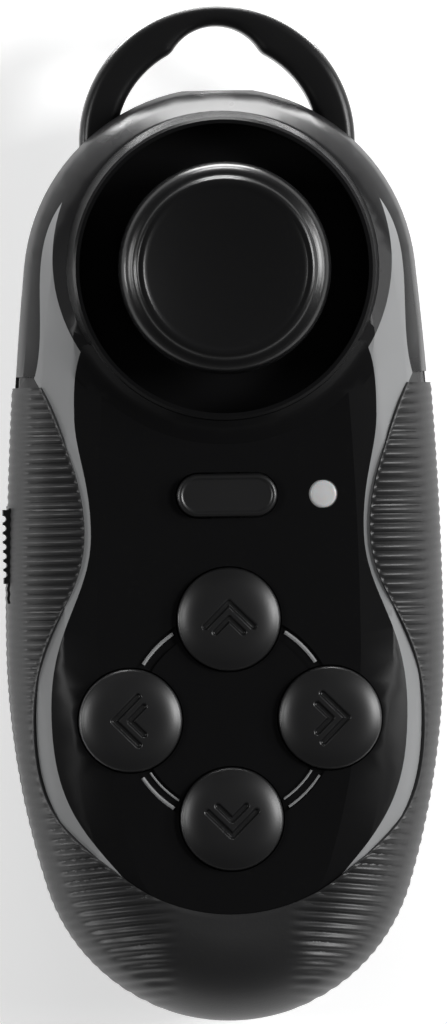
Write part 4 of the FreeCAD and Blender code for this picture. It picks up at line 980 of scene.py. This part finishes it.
class BuildStartKey(Step, bpy.types.Operator):
    """Make the long key with its raised rim"""

    bl_idname = "remote.build_start_key"
    bl_label = "Start Key"

    def build(self, sizes):
        top = START_TOP_Z
        profile = [(0.95, top - START_DISH), (0.72, top - START_DISH)]
        profile += rounded((0.62, top - 0.09), (0.5, top), (0.42, top), 3)
        profile += rounded((0.38, top), (0.02, top - 0.02), (0.0, top - 0.5), 7)
        profile.append((0.0, KEY_FOOT_Z))
        turn = np.linspace(-math.pi / 2, math.pi / 2, START_STEPS)
        half = (START_LENGTH - START_WIDTH) / 2
        rings = []
        for inset, z in profile:
            radius = START_WIDTH / 2 - inset
            x, y = half + radius * np.cos(turn), radius * np.sin(turn)
            rings.append(np.stack([np.concatenate([x, -x]), START_Y + np.concatenate([y, -y]),
                                   np.full(2 * START_STEPS, z)], axis=1))
        faces = capped_faces(len(rings), 2 * START_STEPS)
        points, faces = with_stops(np.concatenate(rings), faces, 0, START_Y, START_WIDTH / 2)
        new_piece("start_key", points, faces, "key_start", "key_black", "start_button")


class BuildLampWindow(Step, bpy.types.Operator):
    """Make the milky lamp window"""

    bl_idname = "remote.build_lamp_window"
    bl_label = "Lamp Window"

    def build(self, sizes):
        low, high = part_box("led_lens")
        foot, top = low.z / MM, high.z / MM
        profile = [(LAMP_RING * ring, top + LAMP_CROWN * (1 - (LAMP_RING * ring / LAMP_CROWN_R) ** 2))
                   for ring in range(5)]
        profile += rounded((1.15, top + 0.05), (LAMP_R - 0.02, top), (LAMP_R, top - 0.25), 4)
        profile += [(LAMP_R, foot), (0, foot)]
        points, faces = turned_solid(profile, (LAMP_X, LAMP_Y), LAMP_STEPS)
        new_piece("lamp_lens", points, faces, "root", "lamp_window", "led_lens")
        dress("lamp_window", "status_led")


class BuildFingerKeys(Step, bpy.types.Operator):
    """Finish the two finger keys, their pins and their push switches"""

    bl_idname = "remote.build_finger_keys"
    bl_label = "Finger Keys"

    def build(self, sizes):
        dress("key_black", "trigger_upper", "trigger_lower", bevel=0.2)
        dress("inner_black", "trigger_switch_upper", "trigger_switch_lower")
        dress("spring_steel", "trigger_pins")


class BuildStickParts(Step, bpy.types.Operator):
    """Finish the mechanism under the thumb pad"""

    bl_idname = "remote.build_stick_parts"
    bl_label = "Stick Mechanism"

    def build(self, sizes):
        dress("inner_black", "joystick_stem", "joystick_base", "joystick_sensor_side",
              "joystick_sensor_rear")
        dress("inner_white", "joystick_arm", "joystick_bail")
        dress("tin_steel", "joystick_frame")
        dress("spring_steel", "joystick_spring")


class BuildModeSwitch(Step, bpy.types.Operator):
    """Finish the slide switch"""

    bl_idname = "remote.build_mode_switch"
    bl_label = "Slide Switch"

    def build(self, sizes):
        dress("key_black", "mode_switch_knob", bevel=0.12)
        dress("inner_white", "mode_switch_slider")
        dress("tin_steel", "mode_switch_body")


class BuildElectronics(Step, bpy.types.Operator):
    """Finish the board, the rubber sheet and what the board carries"""

    bl_idname = "remote.build_electronics"
    bl_label = "Board and Sheet"

    def build(self, sizes):
        dress("board_green", "main_pcb")
        dress("membrane_grey", "button_membrane")
        dress("inner_black", "radio_chip")
        dress("tin_steel", "crystal")


class BuildCells(Step, bpy.types.Operator):
    """Finish the cells, their contacts and the screws"""

    bl_idname = "remote.build_cells"
    bl_label = "Cells and Screws"

    def build(self, sizes):
        dress("cell_wrap", "cell_left", "cell_right")
        dress("spring_steel", "battery_bridge", "battery_contact_positive",
              "battery_contact_negative", "pcb_screws")
        dress("screw_black", "case_screws")


# Studio

def mixed_shader(tree, share, first, second):
    made = add_node(tree, "MixShader", {0: share, 1: first, 2: second})
    return made.outputs[0]


def cleared_tree(holder):
    holder.use_nodes = True
    holder.node_tree.nodes.clear()
    return holder.node_tree


def seen_by(tree, *kinds):
    """1 for rays of the named kinds and 0 for the others."""
    path = add_node(tree, "LightPath").outputs
    seen = path[kinds[0]]
    for kind in kinds[1:]:
        seen = add_math(tree, "MAXIMUM", seen, path[kind])
    return seen


def floor_material():
    """White floor: seen white by the camera and by reflections, and still shaded by the remote."""
    made = bpy.data.materials.new("studio_floor")
    tree = cleared_tree(made)
    seen = seen_by(tree, "Is Camera Ray", "Is Glossy Ray", "Is Transmission Ray")
    glow = add_node(tree, "Emission", {"Strength": FLOOR_GLOW})
    dull = add_node(tree, "BsdfDiffuse", {
        "Color": (FLOOR_WHITE, FLOOR_WHITE, FLOOR_WHITE, 1.0)})
    both = add_node(tree, "AddShader", {0: glow.outputs[0], 1: dull.outputs[0]})
    shown = mixed_shader(tree, seen, dull.outputs[0], both.outputs[0])
    clear = add_node(tree, "BsdfTransparent")
    form = add_node(tree, "NewGeometry")
    sided = mixed_shader(tree, form.outputs["Backfacing"], shown, clear.outputs[0])
    add_node(tree, "OutputMaterial", {"Surface": sided})
    return made


def add_floor():
    mesh = bpy.data.meshes.new("studio_floor")
    corners = [(x * FLOOR_HALF, y * FLOOR_HALF, FLOOR_Z * MM)
               for x, y in ((-1, -1), (1, -1), (1, 1), (-1, 1))]
    mesh.from_pydata(corners, [], [(0, 1, 2, 3)])
    mesh.materials.append(floor_material())
    new_object("studio_floor", mesh)


def add_world():
    """White to the camera and dim for fill, brighter near the horizon than overhead."""
    world = bpy.data.worlds.new("studio")
    bpy.context.scene.world = world
    tree = cleared_tree(world)
    seen = seen_by(tree, "Is Camera Ray", "Is Transmission Ray")
    white = add_node(tree, "Background", {"Color": (1, 1, 1, 1), "Strength": 1.0})
    where = add_node(tree, "TexCoord")
    split = add_node(tree, "SeparateXYZ", {0: where.outputs["Generated"]})
    fill = add_range(tree, split.outputs["Z"], HORIZON_UP, OVERHEAD_UP, HORIZON_LIGHT, OVERHEAD_LIGHT)
    dim = add_node(tree, "Background", {"Color": (1, 1, 1, 1), "Strength": fill})
    mixed = mixed_shader(tree, seen, dim.outputs[0], white.outputs[0])
    add_node(tree, "OutputWorld", {"Surface": mixed})


def add_area(name, place, turn, width, height, power):
    """Rectangular lamp."""
    lamp = bpy.data.lights.new(name, "AREA")
    lamp.shape = "RECTANGLE"
    lamp.size, lamp.size_y, lamp.energy = width, height, power
    holder = new_object(name, lamp)
    holder.location, holder.rotation_euler = place, turn
    return holder


def add_softbox(name, azimuth, elevation, distance, width, height, power):
    """Softbox aimed at the key face. Azimuth 0 is towards +Y and 90 towards +X."""
    turn, rise = math.radians(azimuth), math.radians(elevation)
    way = Vector((math.sin(turn) * math.cos(rise), math.cos(turn) * math.cos(rise), math.sin(rise)))
    place = Vector((0, 0, DECK_Z * MM)) + way * distance
    add_area(name, place, way.to_track_quat("Z", "Y").to_euler(), width, height, power)


def add_camera(sizes):
    """Long lens above the key face, leaning to the left and rolled a little."""
    data = bpy.data.cameras.new("camera")
    camera = new_object("camera", data)
    back = Vector((-math.sin(sizes.camera_lean), 0, math.cos(sizes.camera_lean)))
    distance = sizes.camera_distance
    camera.location = Vector(CAMERA_AIM) * MM + back * distance
    camera.rotation_mode = "QUATERNION"
    level = Vector((0, 1, 0)) - back * back.y
    level.normalize()
    turn = Matrix((level.cross(back), level, back)).transposed()
    roll = Matrix.Rotation(-sizes.camera_roll, 3, back)
    camera.rotation_quaternion = (roll @ turn).to_quaternion()
    data.sensor_width = SENSOR_WIDTH
    data.lens = SENSOR_WIDTH * distance / (PICTURE_HEIGHT * MM)
    data.clip_start, data.clip_end = 0.05, 20.0
    bpy.context.scene.camera = camera


class BuildStage(Step, bpy.types.Operator):
    """Set up the white floor, the softboxes and the camera"""

    bl_idname = "remote.build_stage"
    bl_label = "Studio"

    def build(self, sizes):
        add_camera(sizes)
        add_floor()
        add_world()
        for name, values in SOFTBOXES.items():
            add_softbox(name, *values)
        # A small bright card lies before the head and shines up at its front rim
        card = add_area("bounce_card", (0, CARD_Y, MM), (math.pi, 0, 0), CARD_WIDTH, CARD_HEIGHT,
                        CARD_POWER)
        card.visible_camera = False
        bpy.context.scene.view_settings.view_transform = "Standard"


OPERATORS = (BuildStage, BuildCase, BuildGrips, BuildLoop, BuildThumbPad, BuildRoundKeys,
             BuildRingLines, BuildStartKey, BuildLampWindow, BuildFingerKeys, BuildStickParts,
             BuildModeSwitch, BuildElectronics, BuildCells)


class RemotePanel(bpy.types.Panel):
    """Buttons for each group of pieces, and the settings that they use"""

    bl_idname = "VIEW3D_PT_pocket_remote"
    bl_label = "Pocket Remote"
    bl_space_type = "VIEW_3D"
    bl_region_type = "UI"
    bl_category = "Remote"

    def draw(self, context):
        for operator in OPERATORS:
            self.layout.operator(operator.bl_idname)
        for settings in (context.scene.remote_sizes, context.scene.remote_colours):
            column = self.layout.column()
            for name in settings.bl_rna.properties.keys():
                if name not in ("rna_type", "name"):
                    column.prop(settings, name)


CLASSES = (RemoteSizes, RemoteColours, *OPERATORS, RemotePanel)


def register():
    for kind in CLASSES:
        bpy.utils.register_class(kind)
    bpy.types.Scene.remote_sizes = PointerProperty(type=RemoteSizes)
    bpy.types.Scene.remote_colours = PointerProperty(type=RemoteColours)


def unregister():
    del bpy.types.Scene.remote_colours
    del bpy.types.Scene.remote_sizes
    for kind in reversed(CLASSES):
        bpy.utils.unregister_class(kind)


def run_operator(kind):
    group, name = kind.bl_idname.split(".")
    getattr(getattr(bpy.ops, group), name)()


def main():
    register()
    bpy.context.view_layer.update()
    for kind in OPERATORS:
        run_operator(kind)


if __name__ == "__main__":
    main()
